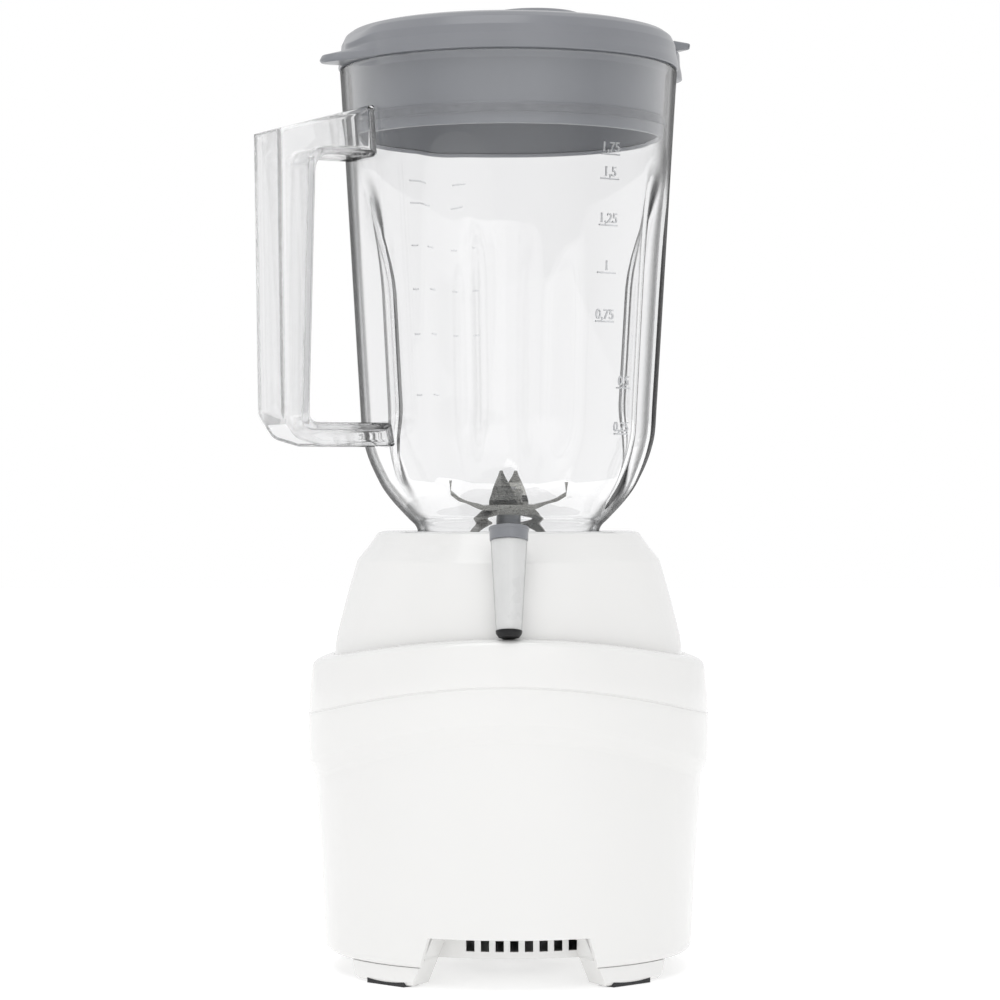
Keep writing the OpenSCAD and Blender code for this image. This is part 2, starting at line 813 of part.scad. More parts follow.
module lever_grip() {
    color(clear) lever_up() translate([0, 0, -collar_h / 2 - lever_len])
        cylinder(r1 = lever_r - 3.2, r2 = lever_r - 0.8, h = lever_len);
}

module lever_tip() {
    color(dark) lever_up() translate([0, 0, -collar_h / 2 - lever_len]) {
        translate([0, 0, -2.2]) cylinder(r = lever_r - 3.1, h = 2.2);
        translate([0, 0, -3.6]) cylinder(r1 = lever_r - 4.4, r2 = lever_r - 3.1, h = 1.4);
    }
}

module drive_socket() {
    color(dark) translate([0, 0, socket_low]) difference() {
        cylinder(r = socket_r, h = socket_h);
        translate([0, 0, -over]) cylinder(r = shaft_r, h = socket_bore + over);
        translate([0, 0, socket_h - hex_h - 1.5]) cylinder(r = hex_r + lift_gap, h = hex_h + 2.5, $fn = 6);
        for (a = [0 : 60 : 300]) rotate([0, 0, a]) translate([socket_r + 1, 0, -over])
            cylinder(r = 2.4, h = socket_bore + over);
    }
}

// The jug's own frame: its handle points along -x and its spout along +x
module jug_frame() {
    rotate([0, 0, jug_turn]) children();
}

// One flute's cutter, parallel to the wall, with a long tapered top; grow adds the wall
module flute(grow) {
    low = base_h + 4;
    top = rim_z - flute_drop - 36;
    out = rim_r - (rim_z - low) * jug_slope + flute_r - flute_depth;
    translate([out, 0, low]) rotate([0, atan(jug_slope), 0]) {
        cylinder(r = flute_r + grow, h = top - low);
        translate([0, 0, top - low])
            cylinder(r1 = flute_r + grow, r2 = flute_r - flute_depth + grow, h = 36);
    }
}

module flutes(grow) {
    at_angles([45 : 90 : 315]) flute(grow);
}

// The handle's section, in the plane through the jug's axis
module handle_section() {
    difference() {
        polygon([[62, finger_low - arm_t], [grip_out - 23.5, finger_low - arm_t],
                 [grip_out - 14, finger_low - arm_t + 1.5], [grip_out - 6.5, finger_low - arm_t + 5.5],
                 [grip_out - 2, finger_low + 3.3], [grip_out, grip_top], [62, grip_root_z + 3]]);
        polygon([
            [60, finger_low], [grip_out - grip_t + 1, finger_low], [grip_out - grip_t + 3, finger_low + 2],
            [grip_out - grip_t, finger_top - 6], [grip_out - grip_t - 6, finger_top], [60, finger_top]
        ]);
    }
}

// What the handle is hollow by: open up along the top arm and down along the lower arm
module handle_hollow() {
    inner = grip_out - grip_t + 3 + grip_wall;
    polygon([[60, finger_top + grip_wall], [inner - 8, finger_top + grip_wall], [inner - 3, finger_top - 5],
             [inner, finger_low - grip_wall], [60, finger_low - grip_wall], [60, finger_low - 20],
             [grip_out - 2 - grip_wall, finger_low - 20], [grip_out - 2 - grip_wall, finger_low],
             [grip_out - grip_wall, grip_top], [grip_out - grip_wall, rim_z], [60, rim_z]]);
}

module handle() {
    rotate([0, 0, 180]) rotate([90, 0, 0]) difference() {
        translate([0, 0, -grip_w / 2]) linear_extrude(grip_w) handle_section();
        translate([0, 0, grip_wall - grip_w / 2]) linear_extrude(grip_w - 2 * grip_wall) handle_hollow();
    }
}

module spout(r) {
    translate([rim_r - 4, 0, rim_z]) rotate([0, spout_tilt, 0]) translate([0, 0, -spout_h])
        cylinder(r = r, h = 2 * spout_h);
}

module jug() {
    cavity_line = concat([[foot_r - 5.7, jug_floor_z]],
                         [for (i = [1 : len(jug_line) - 2]) jug_line[i] - [jug_wall, 0]],
                         [[rim_r - jug_wall, rim_z], [rim_r - jug_wall, rim_z + over]]);
    color(clear) jug_frame() difference() {
        union() {
            difference() {
                turned(jug_line);
                flutes(0);
            }
            handle();
            intersection() {
                spout(spout_r);
                translate([0, -band_r, base_h]) cube([band_r + spout_r, 2 * band_r, jug_h]);
            }
        }
        difference() {
            turned(cavity_line);
            flutes(jug_wall);
        }
        spout(spout_r - jug_wall);
        translate([0, 0, jug_z - over]) cylinder(r = foot_in, h = jug_floor_z - jug_floor_t - jug_z + over);
        translate([0, 0, jug_z]) cylinder(r = holder_r, h = foot_sink);
        rotate([0, 0, -jug_turn]) at_angles([0 : 90 : 270]) lug(lift_gap);
    }
}

module knife_housing() {
    color(lid_grey) difference() {
        union() {
            translate([0, 0, holder_low]) cylinder(r = holder_r - run_gap, h = hub_z - 1 - holder_low);
            translate([0, 0, jug_floor_z]) cylinder(r = collar_r, h = hub_z - 1.2 - jug_floor_z);
        }
        translate([0, 0, holder_low - over]) cylinder(r = bush_r, h = hub_z);
    }
}

module knife_gasket() {
    color(dark) translate([0, 0, jug_floor_z - jug_floor_t - gasket_t]) ring(14, holder_r, gasket_t);
}

module knife_locknut() {
    color(dark) translate([0, 0, holder_low]) difference() {
        cylinder(r = 15, h = locknut_h);
        translate([0, 0, -over]) cylinder(r = holder_r, h = locknut_h + 2 * over);
        for (a = [0 : 45 : 315]) rotate([0, 0, a]) translate([15, 0, -over])
            cylinder(r = 1.6, h = locknut_h + 2 * over);
    }
}

// The long tapered tube that carries the spindle down to the drive
module spindle_sleeve() {
    color(clear) difference() {
        translate([0, 0, tube_low]) cylinder(r1 = 5.85, r2 = 8.1, h = holder_low - tube_low);
        translate([0, 0, tube_low - over]) cylinder(r = bush_r - 1, h = holder_low - tube_low + 2 * over);
        translate([0, 0, tube_low - over]) cylinder(r = bush_r, h = bush_h + over);
    }
}

module upper_bush() {
    color("goldenrod") translate([0, 0, hub_z - 2 - bush_h]) ring(bush_r, spindle_r + run_gap, bush_h);
}

module lower_bush() {
    color("goldenrod") translate([0, 0, tube_low]) ring(bush_r, spindle_r + run_gap, bush_h);
}

module spindle() {
    color(steel) translate([0, 0, tube_low - tip_h - hex_h + 2])
        cylinder(r = spindle_r, h = knife_z + 10.5 - tube_low + tip_h + hex_h - 2);
}

module spindle_tip() {
    color(dark) difference() {
        union() {
            translate([0, 0, tube_low - tip_h - 0.4]) cylinder(r = 6, h = tip_h);
            translate([0, 0, tube_low - tip_h - hex_h - 0.4]) cylinder(r = hex_r, h = hex_h + over, $fn = 6);
        }
        translate([0, 0, tube_low - tip_h - hex_h + 2]) cylinder(r = spindle_r, h = tip_h + hex_h);
    }
}

module knife_hub() {
    color(lid_grey) translate([0, 0, hub_z]) ring(spindle_r + 2, spindle_r, hub_h);
}

// A strip of sheet with a bend at each point, blade_t thick; its end is cut square to up or across
function strip(pts, ends_up) = concat(pts, [for (i = [len(pts) - 1 : -1 : 0])
    pts[i] + (ends_up && i == len(pts) - 1 ? [-blade_t, 0] : [0, blade_t])]);

// One arm of a blade along +x: a bent strip cut to an outline that narrows to its tip
module blade_arm(bend, plan, ends_up = true) {
    intersection() {
        translate([0, 20, 0]) rotate([90, 0, 0]) linear_extrude(40) polygon(strip(bend, ends_up));
        translate([0, 0, -30]) linear_extrude(60) polygon(plan);
    }
}

// What a blade keeps as seen along its arm: it narrows upwards to a point beside the axis
module upright_tip(h) {
    rotate([90, 0, 90]) translate([0, 0, -over]) linear_extrude(h + 2 * over)
        polygon([[-9.5, -over], [-9.5, 1], [-3.8, h + 0.5], [-3, h + 0.5], [4.2, 1], [4.2, -over]]);
}

module blade_pair(z, turn) {
    color(steel) translate([0, 0, z]) rotate([0, 0, turn]) difference() {
        union() {
            children();
            rotate([0, 0, 180]) children();
            cylinder(r = 7, h = blade_t);
        }
        translate([0, 0, -over]) cylinder(r = spindle_r, h = blade_t + 2 * over);
    }
}

module side_blades() {
    blade_pair(knife_z + blade_t, 0) blade_arm(
        [[0, 0], [blade_reach / 2 - 2, 0], [blade_reach - 5.5, 3.1], [blade_reach - 1, 5.4],
         [blade_reach, 11.5]],
        [[0, -7], [blade_reach / 2, -7], [blade_reach + over, 2], [blade_reach + over, 7], [0, 7]]);
}

module upper_blades() {
    tip_z = 15.5;
    blade_pair(knife_z + 2 * blade_t, 90) intersection() {
        blade_arm([[0, 0], [7, 0], [10.5, 2.5], [13.5, 8], [15, tip_z]],
                  [[0, -9], [15 + over, -9], [15 + over, 4], [0, 4]]);
        upright_tip(tip_z);
    }
}

module lower_blades() {
    blade_pair(knife_z, 32) blade_arm(
        [[0, 0], [10, 0], [14, -2.5], [20, -9.5]],
        [[0, -7], [12, -7], [20 + over, 1], [20 + over, 6], [0, 7]], false);
}

module blade_washer() {
    color(steel) translate([0, 0, knife_z + 3 * blade_t]) ring(6.3, spindle_r, 0.8);
}

module knife_nut() {
    color(steel) translate([0, 0, knife_z + 3 * blade_t + 0.8]) difference() {
        cylinder(r = 6.2, h = 4, $fn = 6);
        translate([0, 0, -over]) cylinder(r = spindle_r, h = 4 + 2 * over);
    }
}

module lid() {
    color(lid_grey) jug_frame() difference() {
        union() {
            turned(lid_line);
            translate([0, 0, plug_low]) cylinder(r = plug_r, h = lid_z - plug_low + over);
            translate([hood_x, 0, lid_z]) cylinder(r = hood_r, h = hood_h);
            translate([lid_r + 5, -7, lid_z + 13.6]) cube([9.5, 14, 3.6]);
            translate([0, 0, lid_z]) linear_extrude(3)
                polygon([[-70, -15], [-lid_r - 15.5, -9], [-lid_r - 15.5, 9], [-70, 15]]);
            translate([-lid_r - 15.5, -9, lid_z - 4]) cube([3, 18, 5]);
        }
        turned([[plug_r - lid_wall, plug_low - over], [plug_r - lid_wall, lid_z + 7],
                [plug_r - 18, lid_top - lid_wall], [0.01, lid_top - lid_wall]]);
        difference() {
            translate([hood_x, 0, lid_z - over])
                cylinder(r = hood_r - lid_wall, h = hood_h - lid_wall + over);
            cylinder(r = plug_r, h = lid_top);
        }
        translate([cap_shift, 0, plug_low]) cylinder(r = cap_stem_r + lift_gap, h = rim_z);
    }
}

module lid_seal() {
    seal_r = rim_r - (rim_z - seal_z) * jug_slope - jug_wall - 0.35;
    color(dark) translate([0, 0, seal_z]) ring(seal_r, plug_r, seal_h);
}

module filler_cap() {
    color(lid_grey) jug_frame() translate([cap_shift, 0, 0]) difference() {
        union() {
            translate([0, 0, cap_low]) cylinder(r = cap_stem_r, h = cap_top - cap_low - over);
            translate([0, 0, lid_top + seat_gap])
                cylinder(r = cap_r, h = cap_top - lid_top - seat_gap - 1.2);
            translate([0, 0, cap_top - 1.2]) cylinder(r1 = cap_r, r2 = cap_r - 1.2, h = 1.2);
        }
        translate([0, 0, cap_low - over])
            cylinder(r = cap_stem_r - lid_wall, h = cap_top - lid_wall - cap_low + over);
    }
}

lower_housing();
upper_housing();
bottom_cover();
foot_pads();
cover_screws();
housing_screws();
power_inlet();
inlet_pins();
motor_bottom_bracket();
motor_top_bracket();
motor_mounts();
motor_screws();
stator_core();
field_coils();
armature_core();
armature_windings();
commutator();
motor_shaft();
top_bearing();
bottom_bearing();
cooling_fan();
brush_holders();
carbon_brushes();
brush_springs();
speed_board();
rotary_switch();
lever_bezel();
lever_shaft();
lever_collar();
lever_grip();
lever_tip();
drive_socket();
jug();
knife_housing();
knife_gasket();
knife_locknut();
spindle_sleeve();
upper_bush();
lower_bush();
spindle();
spindle_tip();
knife_hub();
side_blades();
upper_blades();
lower_blades();
blade_washer();
knife_nut();
lid();
lid_seal();
filler_cap();
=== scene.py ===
"""Looks for a countertop blender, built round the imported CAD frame.

Metres, +Z up, the drive axis is x = y = 0, the front is -Y. Sizes written in millimetres are
multiplied by MM. Big sizes come from the frame; the small ones that only the looks need are named here.
"""

import json
import math

import bmesh
import bpy
import numpy as np
from mathutils import Matrix, Vector

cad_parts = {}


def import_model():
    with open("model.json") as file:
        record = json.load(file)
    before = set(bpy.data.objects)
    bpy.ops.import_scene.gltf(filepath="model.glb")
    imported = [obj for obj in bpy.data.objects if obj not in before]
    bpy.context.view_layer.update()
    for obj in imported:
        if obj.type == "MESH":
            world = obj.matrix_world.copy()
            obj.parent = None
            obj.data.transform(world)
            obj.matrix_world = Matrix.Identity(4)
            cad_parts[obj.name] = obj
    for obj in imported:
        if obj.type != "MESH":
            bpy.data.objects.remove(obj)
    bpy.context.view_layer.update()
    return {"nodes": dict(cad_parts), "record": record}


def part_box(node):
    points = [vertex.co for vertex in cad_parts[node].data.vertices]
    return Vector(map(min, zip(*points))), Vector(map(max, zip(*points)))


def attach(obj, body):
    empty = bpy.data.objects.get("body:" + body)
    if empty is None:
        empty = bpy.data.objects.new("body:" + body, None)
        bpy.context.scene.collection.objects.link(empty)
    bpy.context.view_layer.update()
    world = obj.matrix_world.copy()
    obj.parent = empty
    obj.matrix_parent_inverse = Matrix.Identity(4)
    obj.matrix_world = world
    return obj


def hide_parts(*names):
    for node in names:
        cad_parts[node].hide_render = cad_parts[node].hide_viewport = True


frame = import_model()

MM = 0.001
scene = bpy.context.scene

# ---------------------------------------------------------------- sizes, in millimetres


def node_box(name):
    """Lowest and highest corner of a CAD node, in millimetres."""
    low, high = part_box(name)
    return low / MM, high / MM


BAND_R = node_box("lower_housing")[1].x
SKIRT_Z = node_box("lower_housing")[0].z
SHOULDER_Z = node_box("lower_housing")[1].z
BASE_H = node_box("upper_housing")[1].z
NECK_BOTTOM_Z = node_box("upper_housing")[0].z
NECK_FOOT_R = node_box("upper_housing")[1].x
JUG_Z = node_box("jug")[0].z
RIM_Z = node_box("jug")[1].z
JUG_FLOOR_Z = node_box("knife_gasket")[1].z + 3
LID_Z = RIM_Z + 0.3
LID_TOP = node_box("filler_cap")[1].z - 7.7
CAP_TOP = node_box("filler_cap")[1].z
PLUG_LOW = node_box("lid")[0].z
WALL = 2.6
JUG_WALL = 3.0
SKIRT_R = BAND_R - 8.8
HOUSING_R = BAND_R - 2.2
NECK_TOP_R = NECK_FOOT_R - 19.9
RIM_R = 75.7
LID_R = 76.5
PLUG_R = RIM_R - JUG_WALL - 2.7
JUG_TURN = math.radians(27)
HANDLE_WAY = math.pi + JUG_TURN          # the way the handle points, seen from above
SPOUT_WAY = JUG_TURN


# ---------------------------------------------------------------- camera

CAMERA_BACK = 1.418
CAMERA_SIDE = -0.0038
CAMERA_UP = 0.2092
camera = bpy.data.objects.new("camera", bpy.data.cameras.new("camera"))
camera.data.lens = 113.4
camera.data.sensor_width = 36
camera.location = (CAMERA_SIDE, -CAMERA_BACK, CAMERA_UP)
camera.rotation_euler = (math.radians(90), 0, 0)
camera.data.clip_end = 100
scene.collection.objects.link(camera)
scene.camera = camera


# ---------------------------------------------------------------- mesh helpers


def rounded(corners, steps=5, closed=False):
    """A polyline through (r, z, radius) corners, each rounded by an arc of that radius."""
    pts = [Vector(c[:2]) for c in corners]
    out = []
    last = len(pts) - 1
    for i, c in enumerate(corners):
        radius = c[2] if len(c) > 2 else 0
        ends = not closed and i in (0, last)
        if ends or radius <= 0:
            out.append(tuple(pts[i]))
            continue
        a, b = pts[i - 1] - pts[i], pts[(i + 1) % len(pts)] - pts[i]
        la, lb = a.length, b.length
        a, b = a / la, b / lb
        turn = math.pi - math.acos(max(-1.0, min(1.0, a.dot(b))))
        reach = min(radius * math.tan(turn / 2), 0.48 * la, 0.48 * lb)
        start, end = pts[i] + a * reach, pts[i] + b * reach
        for k in range(steps + 1):
            t = k / steps
            out.append(tuple(start * (1 - t) ** 2 + pts[i] * (2 * t * (1 - t)) + end * t ** 2))
    return out


def smooth_curve(pts, count):
    """A Catmull-Rom curve through 2D points, as count points along it."""
    p = np.array([2 * np.array(pts[0]) - pts[1], *pts, 2 * np.array(pts[-1]) - pts[-2]], float)
    out = []
    for u in np.linspace(0, len(pts) - 1 - 1e-9, count):
        i = int(u)
        t = u - i
        a, b, c, d = p[i:i + 4]
        out.append(0.5 * (2 * b + (c - a) * t + (2 * a - 5 * b + 4 * c - d) * t ** 2
                          + (3 * b - a - 3 * c + d) * t ** 3))
    return np.array(out)


def make_object(name, verts, faces, smooth=True, sharp=40):
    """A mesh object from points in millimetres. Edges sharper than sharp degrees stay sharp."""
    mesh = bpy.data.meshes.new(name)
    mesh.from_pydata([tuple(v) for v in np.array(verts, float) * MM], [], faces)
    bm = bmesh.new()
    bm.from_mesh(mesh)
    bmesh.ops.remove_doubles(bm, verts=bm.verts, dist=1e-7)
    bmesh.ops.dissolve_degenerate(bm, edges=bm.edges, dist=1e-8)
    bmesh.ops.recalc_face_normals(bm, faces=bm.faces)
    bm.to_mesh(mesh)
    bm.free()
    if smooth:
        mesh.shade_smooth()
        mesh.set_sharp_from_angle(angle=math.radians(sharp))
    obj = bpy.data.objects.new(name, mesh)
    scene.collection.objects.link(obj)
    return obj


def turn_points(outline, angles, closed):
    """Vertices and faces of an outline turned about the axis. The outline is a list or a function."""
    angles = list(angles)
    loops = [np.array(outline(a) if callable(outline) else outline, float) for a in angles]
    count = len(loops[0])
    verts = [(p[0] * math.cos(a), p[0] * math.sin(a), p[1]) for a, loop in zip(angles, loops) for p in loop]
    faces = []
    for i in range(len(angles)):
        j = (i + 1) % len(angles)
        for k in range(count if closed else count - 1):
            m = (k + 1) % count
            faces.append((i * count + k, j * count + k, j * count + m, i * count + m))
    return verts, faces


def even_angles(count):
    return [2 * math.pi * i / count for i in range(count)]


def lathe(name, outline, angles=192, closed=True, **options):
    """A turned piece. A closed outline makes a ring; an open one starts and ends on the axis."""
    steps = even_angles(angles) if isinstance(angles, int) else angles
    verts, faces = turn_points(outline, steps, closed)
    return make_object(name, verts, faces, **options)


def prism(name, outline, depth, edge=0, steps=3):
    """An outline in the x, z plane given depth along y, with its rims rounded by edge."""
    n = len(outline)
    rings = []
    pts = [Vector(p) for p in outline]
    area = sum(pts[i - 1].x * pts[i].y - pts[i].x * pts[i - 1].y for i in range(n))
    sign = 1 if area > 0 else -1
    normals = []
    for i in range(n):
        a = (pts[i] - pts[i - 1]).normalized()
        b = (pts[(i + 1) % n] - pts[i]).normalized()
        na, nb = Vector((a.y, -a.x)) * sign, Vector((b.y, -b.x)) * sign
        mid = (na + nb).normalized()
        normals.append(mid / max(0.5, mid.dot(na)))
    half = depth / 2
    profile = [(edge * (1 - math.sin(t)), half - edge * (1 - math.cos(t)))
               for t in np.linspace(0, math.pi / 2, steps + 1)] if edge else [(0, half)]
    profile = [(i, y) for i, y in profile]
    for inset, y in profile + [(i, -y) for i, y in reversed(profile)]:
        rings.append([(p.x - nm.x * inset, y, p.y - nm.y * inset) for p, nm in zip(pts, normals)])
    verts = [v for ring in rings for v in ring]
    faces = [(r * n + i, r * n + (i + 1) % n, (r + 1) * n + (i + 1) % n, (r + 1) * n + i)
             for r in range(len(rings) - 1) for i in range(n)]
    faces += [tuple(range(n)), tuple(reversed(range((len(rings) - 1) * n, len(rings) * n)))]
    return make_object(name, verts, faces)


def boolean(obj, cutter, operation="DIFFERENCE"):
    """Joins or cuts obj with cutter, and removes the cutter."""
    change = obj.modifiers.new("cut", "BOOLEAN")
    change.operation = operation
    change.object = cutter
    change.solver = "EXACT"
    bpy.context.view_layer.update()
    made = bpy.data.meshes.new_from_object(obj.evaluated_get(bpy.context.evaluated_depsgraph_get()))
    obj.modifiers.clear()
    obj.data = made
    bpy.data.objects.remove(cutter)
    made.shade_smooth()
    made.set_sharp_from_angle(angle=math.radians(40))
    return obj


def join(target, *others):
    """Adds the other objects' meshes to target's."""
    bm = bmesh.new()
    bm.from_mesh(target.data)
    for o in others:
        o.data.transform(o.matrix_world)
        bm.from_mesh(o.data)
        bpy.data.objects.remove(o)
    bm.to_mesh(target.data)
    bm.free()
    return target


def place(obj, matrix):
    """Moves a mesh's own points, so that its object stays at the origin."""
    obj.data.transform(matrix)
    return obj


def arch(z, drop, x):
    """Height of an arched line at the side distance x: z at the middle, drop lower at the band."""
    radius = (BAND_R ** 2 + drop ** 2) / (2 * drop)
    return z - radius + math.sqrt(radius ** 2 - x ** 2)


def bump_shape(angle, centre, half, power=1.0):
    """1 at centre, 0 from half away, smooth between; all in radians."""
    off = abs((angle - centre + math.pi) % (2 * math.pi) - math.pi)
    return math.cos(off / half * math.pi / 2) ** (2 * power) if off < half else 0.0


def settle(obj, body, material, replaces=()):
    """Gives a new piece its material and its body, and hides the CAD nodes that it stands for."""
    obj.data.materials.clear()
    obj.data.materials.append(material)
    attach(obj, body)
    if replaces:
        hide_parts(*replaces)
    return obj


# ---------------------------------------------------------------- materials


class Shader:
    """A node material in the making: a Principled shader and short ways to feed it."""

    def __init__(self, name, color, roughness, **settings):
        self.material = bpy.data.materials.new(name)
        self.material.use_nodes = True
        self.tree = self.material.node_tree
        self.principled = self.tree.nodes["Principled BSDF"]
        self.set("Base Color", (*color, 1))
        self.set("Roughness", roughness)
        for key, value in settings.items():
            self.set(key.replace("_", " "), value)
        self.base, self.rough = color, roughness

    def set(self, socket, value):
        self.principled.inputs[socket].default_value = value

    def node(self, kind, **values):
        made = self.tree.nodes.new(kind)
        for key, value in values.items():
            if key in made.inputs:
                made.inputs[key].default_value = value
            else:
                setattr(made, key, value)
        return made

    def link(self, a, b):
        self.tree.links.new(a, b)

    def coordinates(self, stretch=(1, 1, 1)):
        """Object coordinates in metres, stretched along each axis."""
        place = self.node("ShaderNodeTexCoord")
        scale = self.node("ShaderNodeMapping")
        scale.inputs["Scale"].default_value = stretch
        self.link(place.outputs["Object"], scale.inputs["Vector"])
        return scale.outputs["Vector"]

    def noise(self, size, detail=3, stretch=(1, 1, 1)):
        """Noise whose features are size metres across."""
        made = self.node("ShaderNodeTexNoise", Scale=1 / size, Detail=detail)
        self.link(self.coordinates(stretch), made.inputs["Vector"])
        return made.outputs["Fac"]

    def vary_color(self, fac, spread, tint=(1, 1, 1)):
        """Blends the base colour to a shade of it that is darker by spread."""
        ramp = self.node("ShaderNodeValToRGB")
        ramp.color_ramp.elements[0].position = 0.3
        ramp.color_ramp.elements[1].position = 0.7
        ramp.color_ramp.elements[0].color = (*[c * (1 - spread) * t for c, t in zip(self.base, tint)], 1)
        ramp.color_ramp.elements[1].color = (*self.base, 1)
        self.link(fac, ramp.inputs["Fac"])
        self.link(ramp.outputs["Color"], self.principled.inputs["Base Color"])

    def vary_roughness(self, fac, low, high):
        change = self.node("ShaderNodeMapRange")
        change.inputs["From Min"].default_value = 0.3
        change.inputs["From Max"].default_value = 0.7
        change.inputs["To Min"].default_value = low
        change.inputs["To Max"].default_value = high
        self.link(fac, change.inputs["Value"])
        self.link(change.outputs["Result"], self.principled.inputs["Roughness"])

    def bump(self, fac, height, strength=1.0):
        """A bump of that height in metres."""
        made = self.node("ShaderNodeBump", Strength=strength, Distance=height)
        self.link(fac, made.inputs["Height"])
        self.link(made.outputs["Normal"], self.principled.inputs["Normal"])


def white_gloss():
    """Moulded white plastic: glossy, with a faint orange-peel and slow ripples of the mould."""
    s = Shader("white_gloss", (0.815, 0.812, 0.80), 0.22, Coat_Weight=0.35, Coat_Roughness=0.06, IOR=1.5)
    s.vary_color(s.noise(0.06, 2), 0.012)
    s.vary_roughness(s.noise(0.012, 4), 0.19, 0.26)
    s.bump(s.noise(0.0018, 2), 0.000012, 0.25)
    return s.material


def grey_gloss():
    """Mid-grey moulded plastic, satin, a little cloudy."""
    s = Shader("grey_gloss", (0.215, 0.222, 0.240), 0.3, Coat_Weight=0.15, Coat_Roughness=0.12)
    s.vary_color(s.noise(0.03, 3), 0.05)
    s.vary_roughness(s.noise(0.02, 2), 0.28, 0.34)
    return s.material


# Painted shade: clear faces that turn away from the camera are darkened towards grey, in place of the dark
# edges that refraction and reflection give
EDGE_FACING = (0.60, 0.82)      # how far a clear face turns away before it starts to go grey, and until it is
EDGE_SHADE_TONE = 0.27                # painted edge shade: what a face that is turned away lets through
STRAIGHT_SHARE = 0.22           # past reach, the share of light that passes unbent
STRAIGHT_TONES = (0.99, 0.30)   # what that light keeps, face on and turned away; the darker tone is painted edge shade


def clear_plastic(name, color, roughness, density, shade, edge=0.0, reach=1.0):
    """Clear plastic that absorbs a little, with painted shade: it is painted grey where it turns away from
    the camera.

    edge is how strongly it does so. Further than reach from the axis, such as in the jug's handle,
    a part of the light passes straight through instead, so that the hollow stays pale.
    """
    s = Shader(name, color, roughness, Transmission_Weight=1.0, IOR=1.49)
    s.vary_roughness(s.noise(0.02, 3), roughness * 0.7, roughness * 1.3 + 0.004)
    surface = s.principled
    if edge:
        # Painted shade: the facing ramp mixes in a darker transparent shader on faces turned away from the
        # camera
        facing = s.node("ShaderNodeLayerWeight", Blend=0.5)
        ramp = s.node("ShaderNodeMapRange", interpolation_type="SMOOTHSTEP")
        ramp.inputs["From Min"].default_value, ramp.inputs["From Max"].default_value = EDGE_FACING
        s.link(facing.outputs["Facing"], ramp.inputs["Value"])
        across = s.node("ShaderNodeVectorMath", operation="LENGTH")
        s.link(s.coordinates((1, 1, 0)), across.inputs[0])
        near = s.node("ShaderNodeMath", operation="LESS_THAN")
        near.inputs[1].default_value = reach
        s.link(across.outputs["Value"], near.inputs[0])
        strength = s.node("ShaderNodeMath", operation="MULTIPLY")
        strength.inputs[1].default_value = edge
        s.link(ramp.outputs["Result"], strength.inputs[0])
        share = s.node("ShaderNodeMix", data_type="FLOAT")
        share.inputs["A"].default_value = STRAIGHT_SHARE
        s.link(near.outputs[0], share.inputs["Factor"])
        s.link(strength.outputs[0], share.inputs["B"])
        grey = s.node("ShaderNodeMix", data_type="FLOAT")
        grey.inputs["A"].default_value, grey.inputs["B"].default_value = STRAIGHT_TONES
        s.link(ramp.outputs["Result"], grey.inputs["Factor"])
        tone = s.node("ShaderNodeMix", data_type="FLOAT")
        tone.inputs["B"].default_value = EDGE_SHADE_TONE
        s.link(near.outputs[0], tone.inputs["Factor"])
        s.link(grey.outputs["Result"], tone.inputs["A"])
        through = s.node("ShaderNodeBsdfTransparent")
        s.link(tone.outputs["Result"], through.inputs["Color"])
        surface = s.node("ShaderNodeMixShader")
        s.link(share.outputs["Result"], surface.inputs["Fac"])
        s.link(s.principled.outputs[0], surface.inputs[1])
        s.link(through.outputs[0], surface.inputs[2])
    volume = s.node("ShaderNodeVolumeAbsorption", Density=density, Color=(*shade, 1))
    out = s.tree.nodes["Material Output"]
    s.link(volume.outputs["Volume"], out.inputs["Volume"])
    path = s.node("ShaderNodeLightPath")
    either = s.node("ShaderNodeMath", operation="MAXIMUM")
    s.link(path.outputs["Is Shadow Ray"], either.inputs[0])
    s.link(path.outputs["Is Diffuse Ray"], either.inputs[1])
    see = s.node("ShaderNodeBsdfTransparent", Color=(0.94, 0.945, 0.95, 1))
    mix = s.node("ShaderNodeMixShader")
    s.link(either.outputs[0], mix.inputs["Fac"])
    s.link(surface.outputs[0], mix.inputs[1])
    s.link(see.outputs[0], mix.inputs[2])
    s.link(mix.outputs[0], out.inputs["Surface"])
    return s.material


def black_plastic():
    s = Shader("black_plastic", (0.010, 0.010, 0.011), 0.3, Specular_IOR_Level=0.3)
    s.vary_color(s.noise(0.004, 3), 0.3)
    s.vary_roughness(s.noise(0.003, 3), 0.3, 0.46)
    s.bump(s.noise(0.0005, 2), 0.00002, 0.5)
    return s.material


def satin(name, color):
    """Pale satin plastic, slightly cloudy."""
    s = Shader(name, color, 0.3)
    s.vary_color(s.noise(0.01, 3), 0.05)
    s.vary_roughness(s.noise(0.006, 3), 0.24, 0.36)
    return s.material


def rubber(name, color):
    s = Shader(name, color, 0.7)
    s.vary_color(s.noise(0.003, 4), 0.2)
    s.vary_roughness(s.noise(0.002, 3), 0.6, 0.8)
    s.bump(s.noise(0.0004, 3), 0.00003, 0.6)
    return s.material


def brushed(name, color, roughness, stretch=(1, 1, 1), scratch=0.0006):
    """Metal with fine scratches along the axis that stretch makes longest."""
    s = Shader(name, color, roughness, Metallic=1.0)
    lines = s.noise(scratch, 4, stretch)
    s.vary_color(s.noise(0.006, 3), 0.12)
    s.vary_roughness(lines, roughness * 0.7, roughness * 1.4)
    s.bump(lines, 0.00001, 0.5)
    return s.material


def turned_metal(name, color, roughness):
    """Metal turned on a lathe: fine grooves round the axis."""
    return brushed(name, color, roughness, (0.02, 0.02, 1), 0.0003)


def stacked_iron():
    s = Shader("stacked_iron", (0.10, 0.10, 0.11), 0.5, Metallic=0.8)
    sheets = s.node("ShaderNodeTexWave", bands_direction="Z", Scale=310.0)
    s.link(s.coordinates(), sheets.inputs["Vector"])
    s.vary_color(s.noise(0.004, 3), 0.3)
    s.bump(sheets.outputs["Fac"], 0.0001, 0.8)
    return s.material


